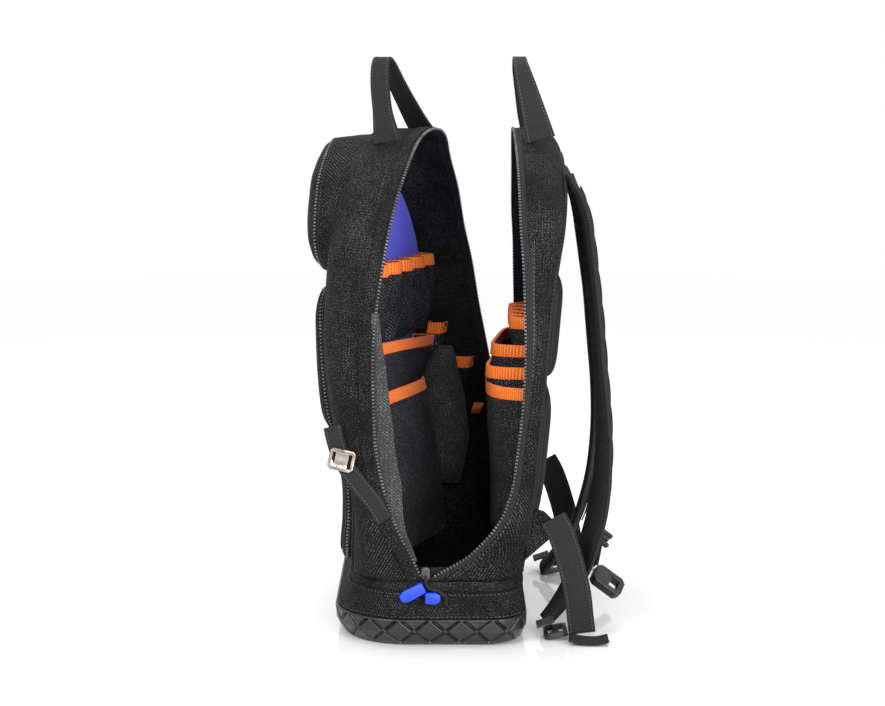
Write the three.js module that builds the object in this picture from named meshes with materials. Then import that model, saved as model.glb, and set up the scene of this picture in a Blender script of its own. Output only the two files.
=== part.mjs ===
// Tool backpack that stands open on a moulded rubber base.
// A front half and a back half rise from the base like the two shells of a clam, joined at the seam
// above the base. The front half is swung open on its near side, so it is twisted about the upright.
//
// Frame: origin at the middle of the base's flat underside, +X from the front pockets to the
// shoulder straps, +Y across the bag to its far side, +Z up. Millimetres.

import * as THREE from "three";

// Driving dimensions
const BAG_HEIGHT = 470; // floor to the crown of both halves
const BAG_WIDTH = 320; // across the cloth body
const BASE_DEPTH = 180; // front to back of the rubber base
const BASE_WIDTH = 330;
const BASE_FRONT_RADIUS = 70; // plan corners of the base
const BASE_BACK_RADIUS = 36;
const BOOT_HEIGHT = 27;
const BOOT_WALL = 3;
const BAND_HEIGHT = 25; // plain cloth band above the rubber
const WELT_HEIGHT = 10; // folded welt above the band
const HALF_WALL = 2.6; // padded cloth of the two halves
const CLOTH = 1.5; // single cloth of pockets
const WEBBING = 1.8; // thickness of woven webbing
const WEBBING_WIDTH = 25;
const CROWN_RISE = 220; // height of the rounded top of each half
const ZIP_WIDTH = 8; // zip tape and teeth along each rim
const ZIP_THICKNESS = 1.8;
const BINDING_HEIGHT = 11; // orange binding round each pocket mouth
const BINDING_PROUD = 0.5;
const STRAP_WIDTH = 62;
const STRAP_THICKNESS = 9.5;
const STRAP_FAR_SHIFT = 8; // the far strap hangs a little further back than the near one
const STRAP_BOW = 62; // furthest reach of the shoulder straps behind the back
const PAD_THICKNESS = 12;
const HANDLE_RISE = 66; // top of the grab handles above the crown
const HANDLE_SPAN = 106;
const GAP = 0.3; // between pieces that touch

const SEAM = BOOT_HEIGHT + BAND_HEIGHT + WELT_HEIGHT + GAP; // where both halves begin
const RISE = BAG_HEIGHT - SEAM;
const HALF_DEPTH = BASE_DEPTH / 2;
const HALF_WIDTH = BAG_WIDTH / 2;

const COLOURS = {
  cloth: { color: 0x2b2c2e, roughness: 0.85, metalness: 0 },
  lining: { color: 0x2a35b8, roughness: 0.7, metalness: 0 },
  binding: { color: 0xe8560f, roughness: 0.75, metalness: 0 },
  webbing: { color: 0x232426, roughness: 0.8, metalness: 0 },
  rubber: { color: 0x2e2f31, roughness: 0.6, metalness: 0 },
  mesh: { color: 0x1d1d1f, roughness: 0.95, metalness: 0 },
  plastic: { color: 0x303133, roughness: 0.45, metalness: 0 },
  metal: { color: 0xb9b4b0, roughness: 0.25, metalness: 1 },
  pull: { color: 0x0a49e0, roughness: 0.35, metalness: 0 },
};

const bag = new THREE.Group();
const vec = (x, y, z) => new THREE.Vector3(x, y, z);
const mix = (a, b, t) => a + (b - a) * t;
const radians = THREE.MathUtils.degToRad;

function add(name, geometry, finish) {
  const mesh = new THREE.Mesh(geometry, new THREE.MeshStandardMaterial(COLOURS[finish]));
  mesh.name = name;
  bag.add(mesh);
  return mesh;
}

// Smooth value of one column of a table at a share of its height
function read(table, column, at) {
  let k = 1;
  while (k < table.length - 1 && table[k].at < at) k += 1;
  const [a, b] = [table[k - 1], table[k]];
  const before = table[Math.max(k - 2, 0)];
  const after = table[Math.min(k + 1, table.length - 1)];
  const span = b.at - a.at;
  const t = THREE.MathUtils.clamp((at - a.at) / span, 0, 1);
  const slopeA = ((b[column] - before[column]) / (b.at - before.at)) * span;
  const slopeB = ((after[column] - a[column]) / (after.at - a.at)) * span;
  const [t2, t3] = [t * t, t * t * t];
  return (
    (2 * t3 - 3 * t2 + 1) * a[column] +
    (t3 - 2 * t2 + t) * slopeA +
    (3 * t2 - 2 * t3) * b[column] +
    (t3 - t2) * slopeB
  );
}

// Faces are collected as loose triangles, and a face with two equal corners is left out
class Faces {
  constructor() {
    this.corners = [];
  }

  triangle(a, b, c) {
    const near = 1e-3;
    if (a.distanceTo(b) < near || b.distanceTo(c) < near || c.distanceTo(a) < near) return;
    this.corners.push(a, b, c);
  }

  quad(a, b, c, d) {
    this.triangle(a, b, c);
    this.triangle(a, c, d);
  }

  strip(a, b, wrap = false) {
    const count = wrap ? a.length : a.length - 1;
    for (let k = 0; k < count; k += 1) {
      const next = (k + 1) % a.length;
      this.quad(a[k], a[next], b[next], b[k]);
    }
  }

  geometry() {
    let volume = 0;
    for (let k = 0; k < this.corners.length; k += 3) {
      const [a, b, c] = this.corners.slice(k, k + 3);
      volume += a.dot(b.clone().cross(c)) / 6;
    }
    const corners = volume < 0 ? this.corners.slice().reverse() : this.corners;
    return new THREE.BufferGeometry().setFromPoints(corners);
  }
}

// Solid through closed rows: a ring when the rows also close, otherwise with both ends capped by
// quads between the two long sides of the row
function loft(rows, closed = false) {
  const faces = new Faces();
  for (let k = 0; k < rows.length - 1; k += 1) faces.strip(rows[k], rows[k + 1], true);
  if (closed) {
    faces.strip(rows[rows.length - 1], rows[0], true);
    return faces.geometry();
  }
  const [first, last] = [rows[0], rows[rows.length - 1]];
  const count = first.length;
  for (let k = 0; k < count / 2 - 1; k += 1) {
    const [a, b, c, d] = [k, k + 1, count - 2 - k, count - 1 - k];
    faces.quad(last[a], last[b], last[c], last[d]);
    faces.quad(first[d], first[c], first[b], first[a]);
  }
  return faces.geometry();
}

// Plan of the base: a rounded oblong, walked from the middle of its near side
function basePlan({ front, back, half, inset = 0 }, count) {
  const [left, right, side] = [front + inset, back - inset, half - inset];
  const corners = [
    { x: right, y: -side, sx: -1, sy: 1, radius: BASE_BACK_RADIUS - inset, from: -90 },
    { x: right, y: side, sx: -1, sy: -1, radius: BASE_BACK_RADIUS - inset, from: 0 },
    { x: left, y: side, sx: 1, sy: -1, radius: BASE_FRONT_RADIUS - inset, from: 90 },
    { x: left, y: -side, sx: 1, sy: 1, radius: BASE_FRONT_RADIUS - inset, from: 180 },
  ];
  const start = [(left + right) / 2, -side];
  const outline = [start];
  const arcSteps = 8;
  for (const c of corners) {
    const [cx, cy] = [c.x + c.sx * c.radius, c.y + c.sy * c.radius];
    for (let k = 0; k <= arcSteps; k += 1) {
      const angle = radians(c.from + (90 * k) / arcSteps);
      outline.push([cx + c.radius * Math.cos(angle), cy + c.radius * Math.sin(angle)]);
    }
  }
  outline.push(start);
  const lengths = [0];
  for (let k = 1; k < outline.length; k += 1) {
    const [a, b] = [outline[k - 1], outline[k]];
    lengths.push(lengths[k - 1] + Math.hypot(b[0] - a[0], b[1] - a[1]));
  }
  const total = lengths[lengths.length - 1];
  return (share) => {
    const target = (((share % 1) + 1) % 1) * total;
    let k = 1;
    while (lengths[k] < target) k += 1;
    const t = (target - lengths[k - 1]) / (lengths[k] - lengths[k - 1] || 1);
    return [mix(outline[k - 1][0], outline[k][0], t), mix(outline[k - 1][1], outline[k][1], t)];
  };
}

const BASE = { front: -HALF_DEPTH - 1, back: HALF_DEPTH - 1, half: BASE_WIDTH / 2 };

function planRow(plan, z, count, shift = 0) {
  return Array.from({ length: count }, (_, k) => {
    const [x, y] = plan((k + shift) / count);
    return vec(x, y, z);
  });
}

// Rubber base: a cup whose wall carries a tread of diamonds between V grooves
const TREAD_COUNT = 32;
const GROOVE_DEPTH = 1.6;
const GROOVE_HALF = 1.7;
const BOOT_PROFILE = [
  { at: 0, inset: 10, z: 3 },
  { at: 0.5, inset: 1.2, z: 14 },
  { at: 1, inset: 0, z: BOOT_HEIGHT - 2 },
];

function bootPoint(share, height, sink) {
  const inset = read(BOOT_PROFILE, "inset", height) + sink;
  const [x, y] = basePlan({ ...BASE, inset })(share);
  return vec(x, y, read(BOOT_PROFILE, "z", height));
}

function treadCell(faces, cell) {
  const middle = cell.reduce((sum, [s, h]) => [sum[0] + s / cell.length, sum[1] + h / cell.length], [0, 0]);
  const shrink = 1 - (GROOVE_HALF * 4) / (BOOT_HEIGHT - 5);
  const low = cell.map(([s, h]) => bootPoint(s, h, GROOVE_DEPTH));
  const high = cell.map(([s, h]) => bootPoint(mix(middle[0], s, shrink), mix(middle[1], h, shrink), 0));
  faces.strip(low, high, true);
  for (let k = 1; k < high.length - 1; k += 1) faces.triangle(high[0], high[k], high[k + 1]);
}

function bootGeometry() {
  const faces = new Faces();
  const step = 1 / TREAD_COUNT;
  for (let k = 0; k < TREAD_COUNT; k += 1) {
    const s = k * step;
    treadCell(faces, [[s, 0], [s + step / 2, 0.5], [s, 1], [s - step / 2, 0.5]]);
    treadCell(faces, [[s, 1], [s + step / 2, 0.5], [s + step, 1]]);
    treadCell(faces, [[s, 0], [s + step, 0], [s + step / 2, 0.5]]);
  }
  const rim = (sink, z) => planRow(basePlan({ ...BASE, inset: sink }), z, TREAD_COUNT);
  const treadTop = Array.from({ length: TREAD_COUNT }, (_, k) => bootPoint(k * step, 1, GROOVE_DEPTH));
  const treadFoot = Array.from({ length: TREAD_COUNT }, (_, k) => bootPoint(k * step, 0, GROOVE_DEPTH));
  const inside = BOOT_WALL + GROOVE_DEPTH;
  const footInset = 24;
  const rows = [
    treadTop,
    rim(GROOVE_DEPTH * 0.4, BOOT_HEIGHT),
    rim(inside, BOOT_HEIGHT),
    rim(inside + 2, 14),
    rim(footInset, BOOT_WALL + 2),
  ];
  for (let k = 0; k < rows.length - 1; k += 1) faces.strip(rows[k], rows[k + 1], true);
  const under = rim(footInset - 6, 0);
  faces.strip(under, treadFoot, true);
  for (let k = 1; k < TREAD_COUNT - 1; k += 1) {
    const floor = rows[rows.length - 1];
    faces.triangle(floor[0], floor[k], floor[k + 1]);
    faces.triangle(under[0], under[k + 1], under[k]);
  }
  return faces.geometry();
}

add("base_boot", bootGeometry(), "rubber");

// Cloth band and welt round the foot of the bag
const BAND_COUNT = 32;

function ring(levels, wall) {
  const row = ({ z, front, back, half }, inset) =>
    planRow(basePlan({ front, back, half, inset }), z, BAND_COUNT);
  return loft([...levels.map((l) => row(l, 0)), ...levels.slice().reverse().map((l) => row(l, wall))], true);
}

const BAND_FOOT = { front: BASE.front + 2, back: BASE.back - 1, half: BASE.half - 1.5 };
const BAND_TOP = { front: -0.86 * HALF_DEPTH, back: 0.94 * HALF_DEPTH, half: HALF_WIDTH + 1.5 };
const WELT_FOOT = BOOT_HEIGHT + BAND_HEIGHT + GAP;
const WELT_PROUD = 1.6;

add(
  "foot_band",
  ring([{ z: BOOT_HEIGHT + GAP, ...BAND_FOOT }, { z: BOOT_HEIGHT + BAND_HEIGHT, ...BAND_TOP }], HALF_WALL),
  "cloth",
);

const weltLevel = (z, proud) => ({
  z,
  front: BAND_TOP.front - proud + (z - WELT_FOOT) * 0.35,
  back: BAND_TOP.back + proud,
  half: BAND_TOP.half + proud - 0.5,
});
add(
  "foot_welt",
  ring(
    [
      weltLevel(WELT_FOOT, 0),
      weltLevel(WELT_FOOT + WELT_HEIGHT * 0.35, WELT_PROUD),
      weltLevel(WELT_FOOT + WELT_HEIGHT * 0.7, WELT_PROUD),
      weltLevel(SEAM - GAP, 0),
    ],
    HALF_WALL + 1,
  ),
  "webbing",
);

// Arch that both halves share, seen from the front: upright sides and a rounded crown.
// Row 0 is at the seam and the last row is the crown's middle.
const SIDE_ROWS = 7;
const CROWN_ROWS = 8;
const ARCH_ROWS = SIDE_ROWS + CROWN_ROWS;
const SPRING = BAG_HEIGHT - CROWN_RISE;

function arch(row, inset) {
  if (row <= SIDE_ROWS) {
    const v = mix(SEAM, SPRING, (row / SIDE_ROWS) ** 1.5);
    return { u: HALF_WIDTH - inset, v };
  }
  const angle = radians((90 * (row - SIDE_ROWS)) / CROWN_ROWS);
  const last = row === ARCH_ROWS;
  const normal = new THREE.Vector2(Math.cos(angle) / HALF_WIDTH, Math.sin(angle) / CROWN_RISE).normalize();
  return {
    u: last ? 0 : HALF_WIDTH * Math.cos(angle) - inset * normal.x,
    v: SPRING + CROWN_RISE * Math.sin(angle) - inset * normal.y,
  };
}

// On the far side the two halves stay zipped to each other at the foot, so the front one reaches
// over to the back one there.
// Sections of the front half by height: the panel's place, how far it is twisted open, the depth
// of its near and far side wall, and the radius between panel and wall. Lengths are shares of
// HALF_DEPTH, and twist is in degrees.
const FRONT_SECTIONS = [
  { at: 0.0, panel: -0.82, twist: 0, near: 0.75, far: 0.75, corner: 0.55 },
  { at: 0.03, panel: -0.8, twist: 0.45, near: 0.687, far: 0.935, corner: 0.485 },
  { at: 0.06, panel: -0.78, twist: 1.0, near: 0.62, far: 1.11, corner: 0.42 },
  { at: 0.12, panel: -0.72, twist: 2.5, near: 0.47, far: 1.245, corner: 0.34 },
  { at: 0.2, panel: -0.67, twist: 4.8, near: 0.37, far: 1.3, corner: 0.29 },
  { at: 0.3, panel: -0.65, twist: 9.5, near: 0.41, far: 1.15, corner: 0.28 },
  { at: 0.36, panel: -0.645, twist: 12.6, near: 0.49, far: 1.0, corner: 0.28 },
  { at: 0.45, panel: -0.63, twist: 15.5, near: 0.56, far: 0.82, corner: 0.28 },
  { at: 0.55, panel: -0.61, twist: 17.5, near: 0.61, far: 0.66, corner: 0.28 },
  { at: 0.66, panel: -0.6, twist: 18.5, near: 0.66, far: 0.57, corner: 0.28 },
  { at: 0.75, panel: -0.62, twist: 18.8, near: 0.71, far: 0.54, corner: 0.29 },
  { at: 0.84, panel: -0.66, twist: 19, near: 0.77, far: 0.59, corner: 0.31 },
  { at: 0.93, panel: -0.72, twist: 19, near: 0.84, far: 0.68, corner: 0.33 },
  { at: 1.0, panel: -0.75, twist: 19, near: 0.84, far: 0.84, corner: 0.34 },
];

// The same for the back half, which stands square to the base
const BACK_SECTIONS = [
  { at: 0.0, panel: 0.93, twist: 0, near: 1.0, far: 1.0, corner: 0.34 },
  { at: 0.03, panel: 0.945, twist: 0, near: 0.78, far: 0.78, corner: 0.32 },
  { at: 0.06, panel: 0.96, twist: 0, near: 0.58, far: 0.58, corner: 0.28 },
  { at: 0.13, panel: 1.0, twist: 0, near: 0.34, far: 0.34, corner: 0.16 },
  { at: 0.2, panel: 1.04, twist: 0, near: 0.25, far: 0.25, corner: 0.11 },
  { at: 0.3, panel: 1.08, twist: 0, near: 0.22, far: 0.22, corner: 0.1 },
  { at: 0.41, panel: 1.13, twist: 0, near: 0.22, far: 0.22, corner: 0.1 },
  { at: 0.52, panel: 1.17, twist: 0, near: 0.24, far: 0.24, corner: 0.11 },
  { at: 0.63, panel: 1.22, twist: 0, near: 0.3, far: 0.3, corner: 0.13 },
  { at: 0.71, panel: 1.28, twist: 0, near: 0.37, far: 0.37, corner: 0.15 },
  { at: 0.78, panel: 1.34, twist: 0, near: 0.45, far: 0.45, corner: 0.18 },
  { at: 0.86, panel: 1.38, twist: 0, near: 0.5, far: 0.5, corner: 0.22 },
  { at: 0.93, panel: 1.38, twist: 0, near: 0.51, far: 0.51, corner: 0.26 },
  { at: 1.0, panel: 1.35, twist: 0, near: 0.5, far: 0.5, corner: 0.28 },
];

const FRONT = { sections: FRONT_SECTIONS, facing: 1, bulge: 7 };
const BACK = { sections: BACK_SECTIONS, facing: -1, bulge: 4 };
const CROWN_FADE = 20; // depth behind the panel at which its crown has died away
const heightShare = (v) => THREE.MathUtils.clamp((v - SEAM) / RISE, 0, 1);

// How far the panel is crowned outwards
function panelCrown(half, u, v) {
  const fade = Math.max(Math.sin(Math.PI * THREE.MathUtils.clamp(heightShare(v) * 1.1, 0, 1)), 0) ** 0.7;
  return half.bulge * fade * Math.max(0, 1 - (u / HALF_WIDTH) ** 2);
}

// Point of a half: u across from near to far, v up, w from the panel towards the opening
function place(half, u, v, w) {
  const at = heightShare(v);
  const twist = radians(read(half.sections, "twist", at));
  const x = read(half.sections, "panel", at) * HALF_DEPTH;
  const crown = panelCrown(half, u, v) * THREE.MathUtils.clamp(1 - w / CROWN_FADE, 0, 1);
  const out = half.facing * (w - crown);
  return vec(x + out * Math.cos(twist) + u * Math.sin(twist), u * Math.cos(twist) - out * Math.sin(twist), v);
}

const rimDepth = (half, side, v) =>
  read(half.sections, side < 0 ? "near" : "far", heightShare(v)) * HALF_DEPTH;

const WALL_STEPS = 2;
const CORNER_STEPS = 2;
const PANEL_STEPS = 6;

// One section of a half, from its near rim round the panel to its far rim
function halfRow(half, row, inset) {
  const base = arch(row, 0);
  const corner = Math.max(read(half.sections, "corner", heightShare(base.v)) * HALF_DEPTH, inset + 1);
  const points = [];
  const wall = (side) => {
    const list = [];
    const rim = rimDepth(half, side, base.v) - ZIP_WIDTH;
    for (let k = 0; k < WALL_STEPS; k += 1) {
      const p = arch(row, inset);
      list.push(place(half, side * p.u, p.v, mix(rim, corner, k / WALL_STEPS)));
    }
    for (let k = 0; k <= CORNER_STEPS; k += 1) {
      const angle = radians((90 * k) / CORNER_STEPS);
      const reach = corner - inset;
      const p = arch(row, inset + reach * (1 - Math.cos(angle)));
      list.push(place(half, side * p.u, p.v, corner - reach * Math.sin(angle)));
    }
    return list;
  };
  points.push(...wall(-1));
  const edge = arch(row, corner);
  for (let k = 1; k < PANEL_STEPS; k += 1) {
    points.push(place(half, mix(-edge.u, edge.u, k / PANEL_STEPS), edge.v, inset));
  }
  points.push(...wall(1).reverse());
  return points;
}

function halfShell(half) {
  const skin = (inset) => Array.from({ length: ARCH_ROWS + 1 }, (_, row) => halfRow(half, row, inset));
  const faces = new Faces();
  const [outer, inner] = [skin(0), skin(HALF_WALL)];
  const rows = [...outer.slice().reverse(), ...inner];
  for (let k = 0; k < rows.length - 1; k += 1) faces.strip(rows[k], rows[k + 1]);
  const last = outer[0].length - 1;
  for (let k = 0; k < ARCH_ROWS; k += 1) {
    faces.quad(outer[k + 1][0], outer[k][0], inner[k][0], inner[k + 1][0]);
    faces.quad(inner[k + 1][last], inner[k][last], outer[k][last], outer[k + 1][last]);
  }
  return faces.geometry();
}

// Zip along a rim: tape and teeth, from one end of the arch over the crown to the other
function zipSide(half) {
  const middle = HALF_WALL / 2;
  const section = (row, side) => {
    const v = arch(row, 0).v;
    const edge = rimDepth(half, side, v);
    return [
      [middle - ZIP_THICKNESS / 2, edge - ZIP_WIDTH + GAP],
      [middle + ZIP_THICKNESS / 2, edge - ZIP_WIDTH + GAP],
      [middle + ZIP_THICKNESS / 2, edge - GAP],
      [middle - ZIP_THICKNESS / 2, edge - GAP],
    ].map(([inset, w]) => {
      const p = arch(row, inset);
      return place(half, side * p.u, p.v, w);
    });
  };
  const rows = [];
  for (let row = 0; row < ARCH_ROWS; row += 1) rows.push(section(row, -1));
  for (let row = ARCH_ROWS; row >= 0; row -= 1) rows.push(section(row, 1));
  return loft(rows);
}

add("front_half", halfShell(FRONT), "cloth");
add("back_half", halfShell(BACK), "cloth");
add("front_zip", zipSide(FRONT), "webbing");
add("back_zip", zipSide(BACK), "webbing");


// Linings: a sheet against the inner face of each panel
const LINING = 1.2;
const LINING_SHARE = 0.98; // of the panel's width
const LINING_BACK = HALF_WALL + 0.8;
const LINED = LINING_BACK + LINING; // depth of the lining's face

// Half width that is free inside a half at a height and depth
function reachAt(half, v, w) {
  const corner = read(half.sections, "corner", heightShare(v)) * HALF_DEPTH;
  const round = Math.max(0, (corner - HALF_WALL) ** 2 - (corner - w) ** 2);
  const inset = w >= corner ? HALF_WALL : corner - Math.sqrt(round);
  if (v <= SPRING) return HALF_WIDTH - inset;
  const rise = Math.min(1, (v - SPRING) / (CROWN_RISE - inset));
  return (HALF_WIDTH - inset) * Math.sqrt(1 - rise ** 2);
}


function liningSheet(half) {
  const rows = [];
  for (let row = 2; row < ARCH_ROWS; row += 1) {
    const corner = read(half.sections, "corner", heightShare(arch(row, 0).v)) * HALF_DEPTH;
    const edge = arch(row, corner);
    const face = (w) =>
      Array.from({ length: PANEL_STEPS + 1 }, (_, k) =>
        place(half, LINING_SHARE * mix(-edge.u, edge.u, k / PANEL_STEPS), edge.v, w));
    rows.push([...face(LINING_BACK), ...face(LINING_BACK + LINING).reverse()]);
  }
  return loft(rows);
}

add("front_lining", liningSheet(FRONT), "lining");
add("back_lining", liningSheet(BACK), "lining");

// Outer pockets: cloth boxes with rounded corners on the front panel, hollow towards it.
// Heights are from the floor; width and radius are shares of BAG_WIDTH.
const OUTER_POCKETS = [
  { name: "pocket_upper", foot: 338, top: 462, width: 0.74, shoulder: 0.34, depth: 33, radius: 0.12, dome: 1 },
  { name: "pocket_middle", foot: 186, top: 326, width: 0.76, shoulder: 0.76, depth: 17, radius: 0.08, dome: 0 },
  { name: "pocket_lower", foot: 70, top: 172, width: 0.72, shoulder: 0.74, depth: 11, radius: 0.06, dome: 0 },
];
// Rings of a pocket from its seam to its face, as a boxed and as a domed one
const POCKET_RINGS = [
  { boxed: 0, domed: 0, out: 0 },
  { boxed: 0.01, domed: 0.03, out: 0.5 },
  { boxed: 0.06, domed: 0.16, out: 0.84 },
  { boxed: 0.2, domed: 0.36, out: 1.0 },
  { boxed: 0.55, domed: 0.62, out: 1.07 },
];
const PANEL_CLEARANCE = 0.8; // of the back pads
const POCKET_CLEARANCE = 1.1; // of the outer pockets

// Outline of an outer pocket from -1 to 1 each way, with its top narrowed to the shoulder width
function pocketOutline({ foot, top, width, shoulder, radius }) {
  const [half, r, height] = [(width * BAG_WIDTH) / 2, radius * BAG_WIDTH, top - foot];
  const points = [];
  const corners = [
    [half - r, r, -90], [half - r, height - r, 0], [-(half - r), height - r, 90], [-(half - r), r, 180],
  ];
  for (const [cu, cv, from] of corners) {
    for (let k = 0; k <= 3; k += 1) {
      const angle = radians(from + 30 * k);
      points.push([cu + r * Math.cos(angle), cv + r * Math.sin(angle)]);
    }
  }
  const sides = [];
  points.forEach((p, k) => {
    const next = points[(k + 1) % points.length];
    sides.push(p);
    if (Math.hypot(next[0] - p[0], next[1] - p[1]) > 30) {
      for (const t of [0.25, 0.5, 0.75]) sides.push([mix(p[0], next[0], t), mix(p[1], next[1], t)]);
    }
  });
  return sides.map(([u, v]) => {
    const narrow = mix(1, shoulder / width, Math.max(0, v / height) ** 2.2);
    return [u * narrow, foot + v];
  });
}

function outerPocket(pocket) {
  const outline = pocketOutline(pocket);
  const centre = (pocket.foot + pocket.top) / 2;
  const half = (pocket.width * BAG_WIDTH) / 2;
  const skin = (wall) =>
    POCKET_RINGS.map(({ boxed, domed, out }) => {
      const inset = mix(boxed, domed, pocket.dome);
      const scaleU = 1 - inset - wall / half;
      const scaleV = 1 - inset - wall / (centre - pocket.foot);
      const depth = Math.max(out * pocket.depth - wall * Math.min(1, out * 2), 0);
      return outline.map(([u, v]) =>
        place(FRONT, u * scaleU, centre + (v - centre) * scaleV, -POCKET_CLEARANCE - depth));
    });
  const faces = new Faces();
  const [outer, inner] = [skin(0), skin(HALF_WALL)];
  const rows = [...outer.slice().reverse(), ...inner];
  for (let k = 0; k < rows.length - 1; k += 1) faces.strip(rows[k], rows[k + 1], true);
  for (const [rings, wall, turn] of [[outer, 0, -1], [inner, HALF_WALL, 1]]) {
    const row = rings[rings.length - 1];
    const middle = place(FRONT, 0, centre, -POCKET_CLEARANCE - pocket.depth * 1.1 + wall);
    row.forEach((p, k) => {
      const next = row[(k + 1) % row.length];
      if (turn > 0) faces.triangle(middle, p, next);
      else faces.triangle(middle, next, p);
    });
  }
  return faces.geometry();
}

OUTER_POCKETS.forEach((pocket) => add(pocket.name, outerPocket(pocket), "cloth"));

// Patch pocket inside a half: a cloth wall bowed off the lining or the side wall, open at the top,
// with an orange binding folded over its mouth
const along = (count) => Array.from({ length: count + 1 }, (_, k) => k / count);

function offsetPath(path, distance) {
  return path.map((p, k) => {
    const a = path[Math.max(k - 1, 0)];
    const b = path[Math.min(k + 1, path.length - 1)];
    const [du, dw] = [b[0] - a[0], b[1] - a[1]];
    const length = Math.hypot(du, dw) || 1;
    return [p[0] + (dw / length) * distance, p[1] - (du / length) * distance];
  });
}

function patchPocket(half, path, levels) {
  const rows = levels.map((v) => {
    const outer = path(v);
    const inner = offsetPath(outer, CLOTH);
    return [...outer, ...inner.reverse()].map(([u, w]) => place(half, u, v, w));
  });
  return loft(rows);
}

function mouthBinding(half, path, top) {
  const [g, b] = [GAP + 0.15, BINDING_PROUD];
  const low = top - BINDING_HEIGHT;
  const section = [
    [-g - b, low], [-g - b, top + g + b], [CLOTH + g, top + g + b],
    [CLOTH + g, top + g], [-g, top + g], [-g, low],
  ];
  const sides = section.map(([distance, v]) => {
    return offsetPath(path(v), distance).map(([u, w]) => place(half, u, v, w));
  });
  return loft(sides[0].map((_, k) => sides.map((side) => side[k])));
}

// Inner pockets by half. from, to: along the panel (u) or, on the far side wall, in depth (w).
// lift is the clearance to the lining or wall behind the pocket's edges.
// foot and mouth each give a height and how far the cloth stands off at its near and far end.
const INNER_POCKETS = [
  { name: "front_sleeves", half: FRONT, on: "panel", flutes: 7, lift: 1.5, from: -112, to: 120,
    foot: { at: 270, near: 13, far: 13 }, mouth: { at: 341, near: 17, far: 17 } },
  { name: "front_pocket_top", half: FRONT, on: "panel", flutes: 0, lift: 2.5, from: -122, to: 112,
    foot: { at: 225, near: 22, far: 24 }, mouth: { at: 266, near: 22, far: 24 } },
  { name: "front_pocket_large", half: FRONT, on: "panel", flutes: 0, lift: 2.5, from: -126, to: 98,
    foot: { at: 84, near: 18, far: 80 }, mouth: { at: 219, near: 22, far: 28 } },
  { name: "gusset_pocket_back", half: FRONT, on: "side", flutes: 0, lift: 3.2, from: 12, to: 28,
    foot: { at: 234, near: 10, far: 10 }, mouth: { at: 264, near: 14, far: 14 } },
  { name: "gusset_pocket_front", half: FRONT, on: "side", flutes: 0, lift: 1.2, from: 30, to: 48,
    foot: { at: 190, near: 7, far: 7 }, mouth: { at: 227, near: 12, far: 12 } },
  { name: "back_sleeves", half: BACK, on: "panel", flutes: 5, lift: 1.5, from: -20, to: 112,
    foot: { at: 264, near: 20, far: 18 }, mouth: { at: 286, near: 25, far: 22 } },
  { name: "back_pocket_top", half: BACK, on: "panel", flutes: 0, lift: 1.4, from: -34, to: 112,
    foot: { at: 245, near: 42, far: 24 }, mouth: { at: 261, near: 44, far: 24 } },
  { name: "back_pocket_middle", half: BACK, on: "panel", flutes: 0, lift: 1.4, from: -52, to: 112,
    foot: { at: 228, near: 46, far: 26 }, mouth: { at: 243, near: 48, far: 26 } },
  { name: "back_pocket_large", half: BACK, on: "panel", flutes: 0, lift: 1.4, from: -72, to: 114,
    foot: { at: 90, near: 24, far: 14 }, mouth: { at: 226, near: 50, far: 28 } },
];

function innerPath({ half, on, from, to, foot, mouth, flutes, lift }) {
  const count = flutes > 0 ? flutes * 3 : 8;
  return (v) => {
    const rise = 1 - (1 - (v - foot.at) / (mouth.at - foot.at)) ** 2;
    return along(count).map((s) => {
      const end = Math.max(0, 1 - Math.abs(2 * s - 1) ** 8) ** 0.5;
      const flute = flutes > 0 ? mix(0.35, 1, Math.abs(Math.sin(Math.PI * flutes * s)) ** 0.7) * end ** 0.4 : end;
      const stand = flute * mix(mix(foot.near, foot.far, s), mix(mouth.near, mouth.far, s), rise);
      if (on === "side") {
        const wall = Math.min(reachAt(half, v, from), reachAt(half, v, to)) - lift;
        return [wall - stand, mix(to, from, s)];
      }
      const limit = reachAt(half, v, LINED) - 12;
      return [mix(Math.max(from, -limit), Math.min(to, limit), s), LINED + lift + stand];
    });
  };
}

for (const pocket of INNER_POCKETS) {
  const path = innerPath(pocket);
  const tall = pocket.mouth.at - pocket.foot.at > 60;
  const bound = pocket.mouth.at - BINDING_HEIGHT;
  const levels = (tall ? [0, 0.33, 0.67, 1] : [0, 1]).map((t) => mix(pocket.foot.at, bound, t));
  levels.push(pocket.mouth.at);
  add(pocket.name, patchPocket(pocket.half, path, levels), "cloth");
  add(`${pocket.name}_binding`, mouthBinding(pocket.half, path, pocket.mouth.at), "binding");
}


// Ribbon of woven webbing or padded strap along a path. Each stop names its middle, the direction
// of its width and, where they differ from the ribbon's own, its width and thickness.
const SQUARE_EDGE = [[-1, -1], [1, -1], [1, 1], [-1, 1]];
const ROUND_EDGE = [[-1, -0.3], [-0.86, -0.9], [0, -1], [0.86, -0.9], [1, -0.3], [1, 0.3], [0.86, 0.9], [0, 1], [-0.86, 0.9], [-1, 0.3]];

function ribbon(stops, { width, thickness, edge = SQUARE_EDGE }) {
  const rows = stops.map((stop, k) => {
    const before = stops[Math.max(k - 1, 0)].at;
    const after = stops[Math.min(k + 1, stops.length - 1)].at;
    const run = after.clone().sub(before).normalize();
    const across = stop.across.clone().addScaledVector(run, -stop.across.dot(run)).normalize();
    const normal = run.clone().cross(across);
    const [w, t] = [(stop.width ?? width) / 2, (stop.thickness ?? thickness) / 2];
    return edge.map(([a, b]) => stop.at.clone().addScaledVector(across, a * w).addScaledVector(normal, b * t));
  });
  return loft(rows);
}

const mirrored = (stops) =>
  stops.map((stop) => ({ ...stop, at: vec(stop.at.x, -stop.at.y, stop.at.z), across: vec(stop.across.x, -stop.across.y, stop.across.z) }));

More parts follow.
